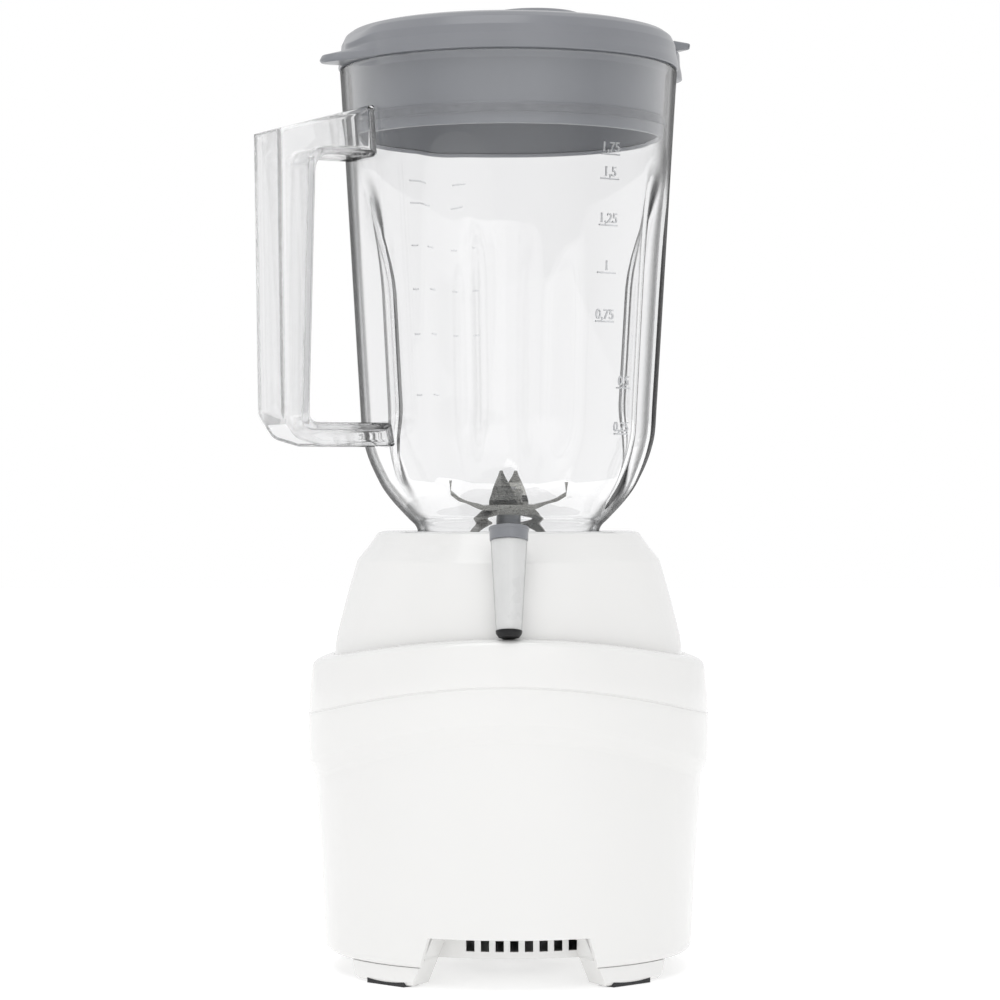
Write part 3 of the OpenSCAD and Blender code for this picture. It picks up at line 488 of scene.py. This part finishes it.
def wound_copper():
    s = Shader("wound_copper", (0.42, 0.16, 0.06), 0.3, Metallic=0.7, Coat_Weight=0.5)
    turns = s.node("ShaderNodeTexWave", bands_direction="Z", Scale=400.0, Distortion=1.5)
    s.link(s.coordinates(), turns.inputs["Vector"])
    s.vary_color(s.noise(0.002, 3), 0.4)
    s.bump(turns.outputs["Fac"], 0.0002, 0.9)
    return s.material


def circuit_board():
    s = Shader("circuit_board", (0.02, 0.11, 0.05), 0.35, Coat_Weight=0.4)
    tracks = s.node("ShaderNodeTexBrick", Scale=160.0)
    tracks.inputs["Color1"].default_value = (0.02, 0.11, 0.05, 1)
    tracks.inputs["Color2"].default_value = (0.015, 0.09, 0.04, 1)
    tracks.inputs["Mortar"].default_value = (0.03, 0.17, 0.08, 1)
    s.link(s.coordinates(), tracks.inputs["Vector"])
    s.link(tracks.outputs["Color"], s.principled.inputs["Base Color"])
    s.bump(s.noise(0.001, 2), 0.00003, 0.5)
    return s.material


WHITE = white_gloss()
GREY = grey_gloss()
JUG_CLEAR = clear_plastic("jug_clear", (1, 1, 1), 0.01, 14.0, (0.45, 0.46, 0.48), 0.85, 0.079)
LEVER_CLEAR = clear_plastic("lever_clear", (1, 1, 1), 0.06, 4.0, (0.5, 0.5, 0.52), 0.3)
LEVER_CORE = satin("lever_core", (0.70, 0.70, 0.69))
MARK_CLEAR = clear_plastic("mark_frosted", (0.88, 0.89, 0.90), 0.45, 60.0, (0.4, 0.4, 0.42))
BLACK = black_plastic()
FOOT_RUBBER = rubber("foot_rubber", (0.03, 0.03, 0.032))
SEAL_RUBBER = rubber("seal_rubber", (0.20, 0.205, 0.22))
BLADE_STEEL = brushed("blade_steel", (0.26, 0.26, 0.245), 0.24, (0.15, 1, 1), 0.0005)
SHAFT_STEEL = turned_metal("shaft_steel", (0.42, 0.42, 0.43), 0.3)
SCREW_STEEL = turned_metal("screw_steel", (0.4, 0.4, 0.41), 0.35)
CAST_ALLOY = brushed("cast_alloy", (0.5, 0.5, 0.51), 0.5, (1, 1, 1), 0.0008)
IRON = stacked_iron()
COPPER = wound_copper()
BRASS = turned_metal("turned_brass", (0.5, 0.34, 0.12), 0.32)
CARBON = rubber("pressed_carbon", (0.02, 0.02, 0.02))
BOARD = circuit_board()

BY_SLOT = {
    "white_housing": WHITE, "grey_plastic": GREY, "clear_plastic": JUG_CLEAR, "black_plastic": BLACK,
    "foot_rubber": FOOT_RUBBER, "seal_rubber": SEAL_RUBBER, "blade_steel": BLADE_STEEL,
    "shaft_steel": SHAFT_STEEL, "screw_steel": SCREW_STEEL, "cast_alloy": CAST_ALLOY, "motor_iron": IRON,
    "copper_wire": COPPER, "brush_brass": BRASS, "brush_carbon": CARBON, "circuit_board": BOARD,
}


def dress_cad_nodes():
    """Every carried-over CAD node gets its slot's material and slightly rounded edges."""
    for part in frame["record"]["subparts"]:
        obj = frame["nodes"][part["node"]]
        obj.data.materials.clear()
        obj.data.materials.append(BY_SLOT[part["material_slot"]])
        soften = obj.modifiers.new("soften", "BEVEL")
        soften.width = 0.25 * MM
        soften.segments = 2
        soften.limit_method = "ANGLE"
        soften.angle_limit = math.radians(40)
        soften.use_clamp_overlap = True


# ---------------------------------------------------------------- base

ARCH_HALF, ARCH_Z = 34.5, 22.0
ARCH_SPREAD = 4.1
BAND_Z, BAND_DROP, BAND_RISE = 115.4, 21.8, 9.5
LINE_Z, LINE_DROP = 129.7, 15.4
SHOULDER_DROP = 13.0

# Radius beyond the housing's lower edge against height above it
SKIRT_CURVE = smooth_curve([(-0.9, 0), (-0.1, 0.4), (0.6, 1.2), (1.0, 2.5), (1.25, 5), (2.0, 18), (2.5, 29.5),
                            (3.4, 43), (4.4, 57), (5.3, 71), (6.1, 86), (6.6, 106), (6.6, 131)], 500)


def skirt_radius(z):
    return SKIRT_R + float(np.interp(z - SKIRT_Z, SKIRT_CURVE[:, 1], SKIRT_CURVE[:, 0]))


def lower_edge(angle):
    """Height of the housing's lower edge: raised over the openings at the front and the back."""
    side = abs(skirt_radius(ARCH_Z) * math.cos(angle))
    slope = (ARCH_HALF + ARCH_SPREAD - side) / ARCH_SPREAD
    return SKIRT_Z + (ARCH_Z - SKIRT_Z) * min(1.0, max(0.0, slope))


def housing_outline(angle):
    """Section of the lower housing: up the outside, over the shoulder and down the inside."""
    side = abs(math.cos(angle))
    low = lower_edge(angle)
    band_low = arch(BAND_Z, BAND_DROP, BAND_R * side)
    line = arch(LINE_Z, LINE_DROP, BAND_R * side)
    top = arch(SHOULDER_Z, SHOULDER_DROP, HOUSING_R * side)
    inner_r = NECK_FOOT_R + 0.25
    ledge = arch(SHOULDER_Z, SHOULDER_DROP, inner_r * side)
    edge = skirt_radius(low + 1.5)
    out = [(edge - WALL + 0.3, low), (edge - 1.4, low)]
    heights = low + (band_low - BAND_RISE - low) * np.linspace(0, 1, 40) ** 1.5
    heights[0] += 0.3
    out += [(skirt_radius(z), z) for z in heights]
    step_r = out[-1][0]
    out += rounded([(step_r, band_low - BAND_RISE + 0.3), (step_r + 0.5, band_low - BAND_RISE + 2.5, 6),
                    (BAND_R - 0.25, band_low - 1.2, 5), (BAND_R, band_low + 3)], 6)
    out += rounded([(BAND_R, line - 3), (BAND_R - 0.05, line - 0.5, 0.5), (BAND_R - 0.6, line - 0.2, 0.2),
                    (BAND_R - 0.6, line + 0.3, 0.2), (BAND_R - 0.25, line + 0.7, 0.5),
                    (BAND_R - 0.4, line + 6)], 3)
    out += rounded([(BAND_R - 0.5, line + 8), (HOUSING_R + 0.2, top - 0.2, 6.5),
                    (HOUSING_R - 7, top + (ledge - top) * 0.7 + 0.2), (inner_r, ledge, 0.8),
                    (inner_r, ledge - WALL)], 8)
    out += [(HOUSING_R - WALL - 1, ledge - 6), (HOUSING_R - WALL, 110), (skirt_radius(60) - WALL, 60)]
    out.append((skirt_radius(low + 1.5) - WALL + 0.2, low + 1))
    return out


INLET_HALF, INLET_Z = 13.2, (49.8, 68.2)      # the opening for the power inlet, at the back


def housing_angles():
    """Even steps round the base, with many more at the openings' slanted edges."""
    edge = math.acos((ARCH_HALF + ARCH_SPREAD / 2) / skirt_radius(ARCH_Z))
    steps = even_angles(168)
    for centre in (edge, math.pi - edge, math.pi + edge, 2 * math.pi - edge):
        steps += [centre + math.radians(d) for d in np.linspace(-2.2, 2.2, 25)]
    return sorted(steps)


def lower_housing():
    obj = lathe("lower_housing_shell", housing_outline, housing_angles(), sharp=35)
    corners = [(-INLET_HALF, INLET_Z[0], 1.5), (INLET_HALF, INLET_Z[0], 1.5),
               (INLET_HALF, INLET_Z[1], 1.5), (-INLET_HALF, INLET_Z[1], 1.5)]
    hole = prism("inlet_hole", rounded(corners, 4, True), 30)
    place(hole, Matrix.Translation((0, 85 * MM, 0)))
    boolean(obj, hole)
    return settle(obj, "base", WHITE, ["lower_housing"])


RECESS_R, RECESS_Z = 41.5, 183.6              # the recess for the jug's foot
GUIDE_R, GUIDE_LOW = 10.5, 154.3              # the tube under it, round the knife's spindle


def neck_outline():
    """Section of the upper housing: outside up, over the top, and down into the jug's recess."""
    side = [(NECK_FOOT_R, NECK_BOTTOM_Z), (NECK_FOOT_R, BASE_H - 52.6)]
    side += [(NECK_TOP_R + 18.7, BASE_H - 45.3), (NECK_TOP_R + 16.9, BASE_H - 38.3),
             (NECK_TOP_R + 15.1, BASE_H - 31), (NECK_TOP_R + 12.0, BASE_H - 20.3)]
    curve = [tuple(p) for p in smooth_curve(side[1:], 40)]
    top = rounded([curve[-1], (NECK_TOP_R + 9.9, BASE_H - 13, 5), (NECK_TOP_R + 4.1, BASE_H - 5.8, 6),
                   (NECK_TOP_R + 0.6, BASE_H - 0.6, 1.2), (NECK_TOP_R - 2.2, BASE_H, 1.0),
                   (RECESS_R + 0.8, BASE_H, 1.0), (RECESS_R, BASE_H - 1.4, 0.8), (RECESS_R, RECESS_Z, 1.0),
                   (GUIDE_R, RECESS_Z, 0.8), (GUIDE_R, GUIDE_LOW, 0.5), (GUIDE_R + 2, GUIDE_LOW, 0.5),
                   (GUIDE_R + 2, RECESS_Z - 2.6), (RECESS_R + 2.5, RECESS_Z - 2.6, 1),
                   (RECESS_R + 2.5, BASE_H - 2.6, 1)], 5)
    inner = [(NECK_TOP_R - 3, BASE_H - 2.6), (NECK_TOP_R + 6.5, BASE_H - 13), (NECK_TOP_R + 15, BASE_H - 40),
             (NECK_FOOT_R - WALL, BASE_H - 52.6), (NECK_FOOT_R - WALL, NECK_BOTTOM_Z)]
    return [side[0]] + curve[:-1] + top + inner


LEVER_LEAN = math.radians(13.3)
LEVER_AT = Vector((0, -NECK_TOP_R - 16.9, BASE_H - 0.7)) * MM
LEVER = Matrix.Translation(LEVER_AT) @ Matrix.Rotation(-LEVER_LEAN, 4, "X")


def upper_housing():
    obj = lathe("upper_housing_shell", neck_outline(), 192, sharp=35)
    bore = lathe("bezel_hole", [(0, -26), (4.4, -26), (4.4, 26), (0, 26)], 48, closed=False)
    into = LEVER @ Matrix.Translation((0, 0.018, 0)) @ Matrix.Rotation(math.radians(-90), 4, "X")
    place(bore, into)
    boolean(obj, bore)
    lugs = []
    for k in range(4):
        lug = prism("lug", rounded([(-3.8, RECESS_Z - 0.4), (-3.8, RECESS_Z + 3.7, 1.2),
                                    (3.8, RECESS_Z + 3.7, 1.2), (3.8, RECESS_Z - 0.4)], 4, True), 7, 0.5)
        place(lug, Matrix.Rotation(k * math.pi / 2, 4, "Z") @ Matrix.Translation((0, 0.0385, 0)))
        lugs.append(lug)
    join(obj, *lugs)
    return settle(obj, "base", WHITE, ["upper_housing"])


# ---------------------------------------------------------------- lever

COLLAR_R, COLLAR_H, LEVER_LEN = 8.7, 5.6, 39.2


def lever():
    low = -COLLAR_H / 2
    collar = lathe("lever_collar_ring", rounded(
        [(0, low), (COLLAR_R - 0.5, low, 0.3), (COLLAR_R - 0.35, -low - 1.3, 0.3),
         (COLLAR_R, -low - 1.0, 0.2), (COLLAR_R, -low, 0.4), (COLLAR_R - 1.6, -low + 0.3, 0.6),
         (0, -low + 0.3)], 4), 96, closed=False)
    settle(place(collar, LEVER), "lever", GREY, ["lever_collar"])
    end = low - LEVER_LEN
    grip = lathe("lever_grip_clear", rounded(
        [(0, end), (COLLAR_R - 3.2, end, 0.4), (COLLAR_R - 0.85, low - 0.1, 0.5), (0, low - 0.1)], 4),
        96, closed=False)
    settle(place(grip, LEVER), "lever", LEVER_CLEAR, ["lever_grip"])
    core = lathe("lever_core", rounded(
        [(0, end + 0.1), (5.0, end + 0.1, 0.3), (7.2, low - 0.3, 0.4), (0, low - 0.3)], 3),
        64, closed=False)
    settle(place(core, LEVER), "lever", LEVER_CORE)
    tip = lathe("lever_tip_cap", rounded(
        [(0, end - 2.8), (COLLAR_R - 4.2, end - 2.8, 0.8), (COLLAR_R - 3.2, end - 1.2, 1.0),
         (COLLAR_R - 3.0, end + 0.02, 0.2), (0, end + 0.02)], 6), 96, closed=False)
    settle(place(tip, LEVER), "lever", BLACK, ["lever_tip"])


# ---------------------------------------------------------------- jug

FLUTE_DEPTH = 12.5
FLUTE_HALF = math.radians(15.5)
FLUTE_WAYS = [HANDLE_WAY + math.radians(a) for a in (45, 135, 225, 315)]
JUG_CURVE = smooth_curve([
    (40.2, JUG_Z), (40.5, JUG_Z + 6), (41.2, BASE_H + 1.4), (45.2, BASE_H + 5.9), (51.1, BASE_H + 12.2),
    (56.0, BASE_H + 18.5), (59.4, BASE_H + 24.7), (62.3, BASE_H + 31.1), (64.4, BASE_H + 37.4),
    (65.9, BASE_H + 44.7), (66.9, BASE_H + 60), (70.2, BASE_H + 115), (RIM_R, RIM_Z)], 132)
FLUTE_TOP, FLUTE_FULL = RIM_Z - 36, RIM_Z - 100
FLUTE_LOW, FLUTE_LOW_FULL = BASE_H + 5, BASE_H + 58


def soft_step(t):
    t = min(1.0, max(0.0, t))
    return t * t * (3 - 2 * t)


def flute_depth(z):
    up = soft_step((FLUTE_TOP - z) / (FLUTE_TOP - FLUTE_FULL))
    low = soft_step((z - FLUTE_LOW) / (FLUTE_LOW_FULL - FLUTE_LOW))
    return FLUTE_DEPTH * up * low


def press(angle, z):
    """How far the wall is pushed in (or out, at the spout) at an angle and a height."""
    inward = sum(bump_shape(angle, way, FLUTE_HALF) for way in FLUTE_WAYS) * flute_depth(z)
    out = 9.5 * bump_shape(angle, SPOUT_WAY, math.radians(15)) * soft_step((z - RIM_Z + 24) / 24) ** 1.3
    return out - inward


def jug_wall_points():
    """Outer and inner points of the wall at rest, before the flutes are pressed."""
    p = JUG_CURVE
    along = np.gradient(p, axis=0)
    along /= np.linalg.norm(along, axis=1)[:, None]
    inner = p + np.stack([-along[:, 1], along[:, 0]], 1) * JUG_WALL
    return p, inner[inner[:, 1] > JUG_FLOOR_Z + 3.5]


JUG_OUTER, JUG_INNER = jug_wall_points()


def jug_outline(angle):
    out = [(r + press(angle, z), z) for r, z in JUG_OUTER[:-1]]
    tip = press(angle, RIM_Z)
    out += rounded([(RIM_R + tip - 0.02, RIM_Z - 1.4), (RIM_R + tip, RIM_Z, 1.3),
                    (RIM_R - JUG_WALL + tip, RIM_Z, 1.3), (RIM_R - JUG_WALL + tip - 0.02, RIM_Z - 1.4)], 4)
    out += [(r + press(angle, z), z) for r, z in reversed(JUG_INNER[:-1])]
    out += rounded([tuple(JUG_INNER[0]), (35.2, JUG_FLOOR_Z, 3.5), (8.1, JUG_FLOOR_Z), (8.1, JUG_FLOOR_Z - 3),
                    (36.0, JUG_FLOOR_Z - 3, 1), (36.0, JUG_Z, 0.8), (40.2, JUG_Z, 0.8)], 4)[1:]
    return out


def wall_radius(z):
    return float(np.interp(z, JUG_OUTER[:, 1], JUG_OUTER[:, 0]))


GRIP_OUT, GRIP_T, GRIP_W, GRIP_WALL, ARM_T = 118.5, 18.5, 30.0, 3.0, 10.3
FINGER_TOP = RIM_Z - 42.7
FINGER_LOW = FINGER_TOP - 116
GRIP_TOP_Z = RIM_Z - 32.9
ROOT_Z = RIM_Z - 19.7


def handle_outline():
    """The handle's section, seen square to its plane: x away from the jug, y up."""
    hold = 2.6                                # how deep the handle's ends go into the wall
    low = FINGER_LOW - ARM_T
    x = lambda z: wall_radius(z) - hold
    grip_in = GRIP_OUT - GRIP_T
    return rounded([
        (x(low), low), (GRIP_OUT - 21, low, 6), (GRIP_OUT - 9, low + 3.2, 8),
        (GRIP_OUT - 2, FINGER_LOW + 3.3, 9), (GRIP_OUT, GRIP_TOP_Z), (x(ROOT_Z), ROOT_Z),
        (x(FINGER_TOP), FINGER_TOP), (grip_in, FINGER_TOP, 8), (grip_in + 3, FINGER_LOW, 4.5),
        (x(FINGER_LOW), FINGER_LOW)], 7, True)


def handle_hollow():
    grip_in = GRIP_OUT - GRIP_T
    floor, roof = FINGER_TOP + GRIP_WALL, FINGER_LOW - GRIP_WALL
    start = 0.6                               # the hollow stops this far outside the wall
    x = lambda z: wall_radius(z) + start
    return rounded([
        (x(roof - 12), roof - 12), (GRIP_OUT - 2 - GRIP_WALL, roof - 12),
        (GRIP_OUT - 2 - GRIP_WALL, FINGER_LOW), (GRIP_OUT - GRIP_WALL, GRIP_TOP_Z - 2),
        (GRIP_OUT - GRIP_WALL, ROOT_Z + 12), (x(ROOT_Z), ROOT_Z + 12), (x(floor), floor),
        (grip_in + GRIP_WALL, floor, 9), (grip_in + 3 + GRIP_WALL, roof, 6), (x(roof), roof)], 7, True)


def jug():
    obj = lathe("jug_body", jug_outline, 300, sharp=50)
    handle = prism("handle", handle_outline(), GRIP_W, 3.2, 5)
    hollow = prism("hollow", handle_hollow(), GRIP_W - 2 * GRIP_WALL, 1.5, 4)
    boolean(handle, hollow)
    place(handle, Matrix.Rotation(HANDLE_WAY, 4, "Z"))
    boolean(obj, handle, "UNION")
    return settle(obj, "jug", JUG_CLEAR, ["jug"])


def scale_marks(name, way, heights, labels, long_tick, size):
    """Raised ticks with a number over each, standing a little out of the wall."""
    pieces = []
    for z, label in zip(heights, labels):
        r = wall_radius(z) + press(way, z)
        lean = math.atan2(9.5, 156)
        here = (Matrix.Rotation(way + math.pi / 2, 4, "Z") @ Matrix.Translation((0, -(r - 0.05) * MM, z * MM))
                @ Matrix.Rotation(lean, 4, "X"))
        tick = prism("tick", [(-long_tick / 2, -0.35), (long_tick / 2, -0.35), (long_tick / 2, 0.35),
                              (-long_tick / 2, 0.35)], 0.8, 0.15, 2)
        place(tick, here)
        pieces.append(tick)
        if label:
            words = bpy.data.curves.new("number", "FONT")
            words.body = label
            words.size = size * MM
            words.extrude = 0.3 * MM
            words.bevel_depth = 0.05 * MM
            words.align_x = "CENTER"
            holder = bpy.data.objects.new("number", words)
            scene.collection.objects.link(holder)
            bpy.context.view_layer.update()
            graph = bpy.context.evaluated_depsgraph_get()
            flat = bpy.data.meshes.new_from_object(holder.evaluated_get(graph))
            bpy.data.objects.remove(holder)
            number = bpy.data.objects.new("number", flat)
            scene.collection.objects.link(number)
            place(number, here @ Matrix.Translation((0, 0, 1.1 * MM)) @ Matrix.Rotation(math.pi / 2, 4, "X"))
            pieces.append(number)
    marks = join(pieces[0], *pieces[1:])
    marks.name = name
    return settle(marks, "jug", MARK_CLEAR)


# ---------------------------------------------------------------- lid and cap

TAB_HALF, HOOD_HALF = math.radians(15), math.radians(15)
FILLER_R = 20.3                               # the filler's hole
CAP_PLACE = Matrix.Rotation(SPOUT_WAY, 4, "Z") @ Matrix.Translation((13.6 * MM, 0, 0))


def lid_outline(angle):
    """Section of the lid: its edge reaches out in a tab over the handle and a hood over the spout."""
    tab = bump_shape(angle, HANDLE_WAY, TAB_HALF, 1.2)
    hood = bump_shape(angle, SPOUT_WAY, HOOD_HALF, 0.7)
    edge = 15.8 * tab + 12.0 * hood
    low = LID_Z - 1.8 * tab
    side_r = LID_R - 0.3 + 14.8 * tab + 12.0 * hood
    crease_r = LID_R - 1.4 + 4.0 * tab + 12.0 * hood
    out = [(PLUG_R - 3.2, PLUG_LOW + 1.4)]
    out += rounded([(PLUG_R - 2.4, PLUG_LOW, 0.6), (PLUG_R - 0.6, PLUG_LOW, 0.9),
                    (PLUG_R - 0.5, PLUG_LOW + 4.4, 0.4), (PLUG_R, PLUG_LOW + 5.2, 0.4),
                    (PLUG_R, PLUG_LOW + 8.6, 0.4), (PLUG_R - 0.5, PLUG_LOW + 9.4, 0.4),
                    (PLUG_R + 0.4, LID_Z - 3, 2), (PLUG_R + 2.0, LID_Z, 1.0), (RIM_R - 1, LID_Z, 0.2),
                    (RIM_R + 0.4, LID_Z, 0.2), (LID_R + edge - 1.0, low, 0.6 + 0.4 * tab),
                    (LID_R + edge, low + 0.6 + 0.6 * tab, 0.6 + 0.4 * tab),
                    (side_r, LID_Z + 3.4 - 1.7 * tab, 1.2),
                    (crease_r + 0.3, LID_Z + 7.0 - 2.4 * tab, 2.0),
                    (crease_r, LID_Z + 10.6 - 3.0 * tab + 2.2 * hood, 1.6),
                    (LID_R - 3.2 + 11.0 * hood, LID_Z + 14.4 - 1.5 * tab + 0.8 * hood, 2.0),
                    (LID_R - 6.0 + 8.0 * hood, LID_Z + 16.4, 3), (LID_R - 11, LID_Z + 17.7, 5),
                    (LID_R - 22, LID_TOP - 0.6, 8), (LID_R - 34, LID_TOP, 6)], 5, True)
    return out


def lid():
    """The lid, with the filler's hole, the plug's hollow and the small lip on the hood."""
    def outline(angle):
        pts = lid_outline(angle)
        under = rounded([(30, LID_TOP - 2.4), (PLUG_R - 19, LID_TOP - 2.6, 6), (PLUG_R - 2.6, LID_Z + 8, 8),
                         (PLUG_R - 2.4, PLUG_LOW + 2)], 6)
        return pts + [(30, LID_TOP)] + under
    shell = lathe("lid_shell", outline, 288, sharp=50)
    middle = lathe("lid_middle", [(0, LID_TOP - 2.4), (30.5, LID_TOP - 2.4), (30.5, LID_TOP), (0, LID_TOP)],
                   128, closed=False)
    boolean(shell, middle, "UNION")
    hole = lathe("filler_hole", [(0, LID_TOP - 20), (FILLER_R, LID_TOP - 20), (FILLER_R, LID_TOP + 20),
                                 (0, LID_TOP + 20)], 128, closed=False)
    collar = lathe("filler_collar", rounded(
        [(FILLER_R, LID_TOP - 11, 0.4), (FILLER_R + 2, LID_TOP - 11, 0.4), (FILLER_R + 2, LID_TOP - 1),
         (FILLER_R, LID_TOP - 1)], 3, True), 128)
    boolean(shell, place(collar, CAP_PLACE), "UNION")
    boolean(shell, place(hole, CAP_PLACE))
    lip = prism("lip", rounded([(80, LID_Z + 13.6), (90.4, LID_Z + 14.9, 0.8), (91, LID_Z + 17.8, 1.2),
                                (82, LID_Z + 18.6, 2), (76, LID_Z + 14.2)], 4, True), 15, 1.2, 3)
    place(lip, Matrix.Rotation(SPOUT_WAY, 4, "Z"))
    join(shell, lip)
    return settle(shell, "lid", GREY, ["lid"])


def filler_cap():
    low = CAP_TOP - 21
    cap = lathe("filler_cap_body", rounded(
        [(0, CAP_TOP - 2.4), (17.2, CAP_TOP - 2.4, 2), (17.5, low, 0.6), (19.9, low, 0.6),
         (19.9, LID_TOP + 0.3, 0.2), (22, LID_TOP + 0.3, 0.5), (22, CAP_TOP - 2.2, 1.5),
         (20.0, CAP_TOP - 0.3, 1.5), (14, CAP_TOP, 4), (0, CAP_TOP)], 5), 160, closed=False)
    place(cap, CAP_PLACE)
    return settle(cap, "cap", GREY, ["filler_cap"])


# ---------------------------------------------------------------- scene


def world():
    """A white studio: plain white to the camera, with two soft grey flags that gloss and glass pick up."""
    made = bpy.data.worlds.new("studio")
    scene.world = made
    made.use_nodes = True
    tree = made.node_tree
    back = tree.nodes["Background"]
    out = tree.nodes["World Output"]
    place = tree.nodes.new("ShaderNodeTexCoord")
    split = tree.nodes.new("ShaderNodeSeparateXYZ")
    tree.links.new(place.outputs["Generated"], split.inputs["Vector"])
    front = tree.nodes.new("ShaderNodeMath")
    front.operation = "MULTIPLY"
    front.inputs[1].default_value = -1
    tree.links.new(split.outputs["Y"], front.inputs[0])
    way = tree.nodes.new("ShaderNodeMath")
    way.operation = "ARCTAN2"
    tree.links.new(split.outputs["X"], way.inputs[0])
    tree.links.new(front.outputs[0], way.inputs[1])
    share = tree.nodes.new("ShaderNodeMapRange")
    share.inputs["From Min"].default_value = -math.pi
    share.inputs["From Max"].default_value = math.pi
    tree.links.new(way.outputs[0], share.inputs["Value"])
    ramp = tree.nodes.new("ShaderNodeValToRGB")
    tree.links.new(share.outputs["Result"], ramp.inputs["Fac"])
    # Tone against the way round from the back: bright behind, a flag at either side of the front
    half = [(0.0, 0.95), (0.22, 0.95), (0.27, 0.80), (0.33, 0.62), (0.38, 0.80), (0.44, 1.0)]
    stops = half + [(1 - position, tone) for position, tone in reversed(half)]
    elements = ramp.color_ramp.elements
    while len(elements) < len(stops):
        elements.new(0.5)
    for element, (position, tone) in zip(elements, stops):
        element.position = position
        element.color = (tone, tone, tone * 1.005, 1)
    tree.links.new(ramp.outputs["Color"], back.inputs["Color"])
    back.inputs["Strength"].default_value = 0.98
    plain = tree.nodes.new("ShaderNodeBackground")
    plain.inputs["Color"].default_value = (1, 1, 1, 1)
    plain.inputs["Strength"].default_value = 1.0
    path = tree.nodes.new("ShaderNodeLightPath")
    mix = tree.nodes.new("ShaderNodeMixShader")
    tree.links.new(path.outputs["Is Camera Ray"], mix.inputs["Fac"])
    tree.links.new(back.outputs[0], mix.inputs[1])
    tree.links.new(plain.outputs[0], mix.inputs[2])
    tree.links.new(mix.outputs[0], out.inputs["Surface"])


def softbox(name, at, size, power):
    lamp = bpy.data.lights.new(name, "AREA")
    lamp.shape = "RECTANGLE"
    lamp.size, lamp.size_y = size
    lamp.energy = power
    obj = bpy.data.objects.new(name, lamp)
    obj.location = at
    obj.rotation_euler = (Vector((0, 0, 0.2)) - Vector(at)).to_track_quat("-Z", "Y").to_euler()
    scene.collection.objects.link(obj)


def floor():
    """A white floor that reads as the same plain white as the background, but for a faint contact shade."""
    s = Shader("white_floor", (0.72, 0.72, 0.72), 0.6)
    s.vary_color(s.noise(0.5, 2), 0.005)
    s.principled.inputs["Emission Color"].default_value = (1, 1, 1, 1)
    s.principled.inputs["Emission Strength"].default_value = 0.42
    mesh = bpy.data.meshes.new("floor")
    far = 6.0
    mesh.from_pydata([(-far, -far, 0), (far, -far, 0), (far, far, 0), (-far, far, 0)], [], [(0, 1, 2, 3)])
    obj = bpy.data.objects.new("floor", mesh)
    mesh.materials.append(s.material)
    scene.collection.objects.link(obj)


def studio():
    world()
    softbox("top_light", (-0.4, -0.9, 2.3), (1.6, 1.6), 13)
    softbox("front_light", (0.7, -2.4, 1.3), (1.4, 1.4), 2)
    floor()
    scene.view_settings.view_transform = "Standard"
    scene.view_settings.look = "None"


# ---------------------------------------------------------------- the object

dress_cad_nodes()
lower_housing()
upper_housing()
lever()
jug()
LITRES = ["0,25", "0,5", "0,75", "1", "1,25", "1,5", "1,75"]
HEIGHTS = [238, 258, 286.5, 307.5, 328, 348, 358.5]
scale_marks("scale_front_low", math.radians(-42), HEIGHTS[:2], LITRES[:2], 9, 6)
scale_marks("scale_front", math.radians(-53), HEIGHTS[2:], LITRES[2:], 10, 6)
scale_marks("scale_back_left", math.radians(128), HEIGHTS[1:], [""] * 6, 7, 5.5)
scale_marks("scale_back_right", math.radians(108), HEIGHTS[2:], [""] * 5, 6, 5)
lid()
filler_cap()
studio()
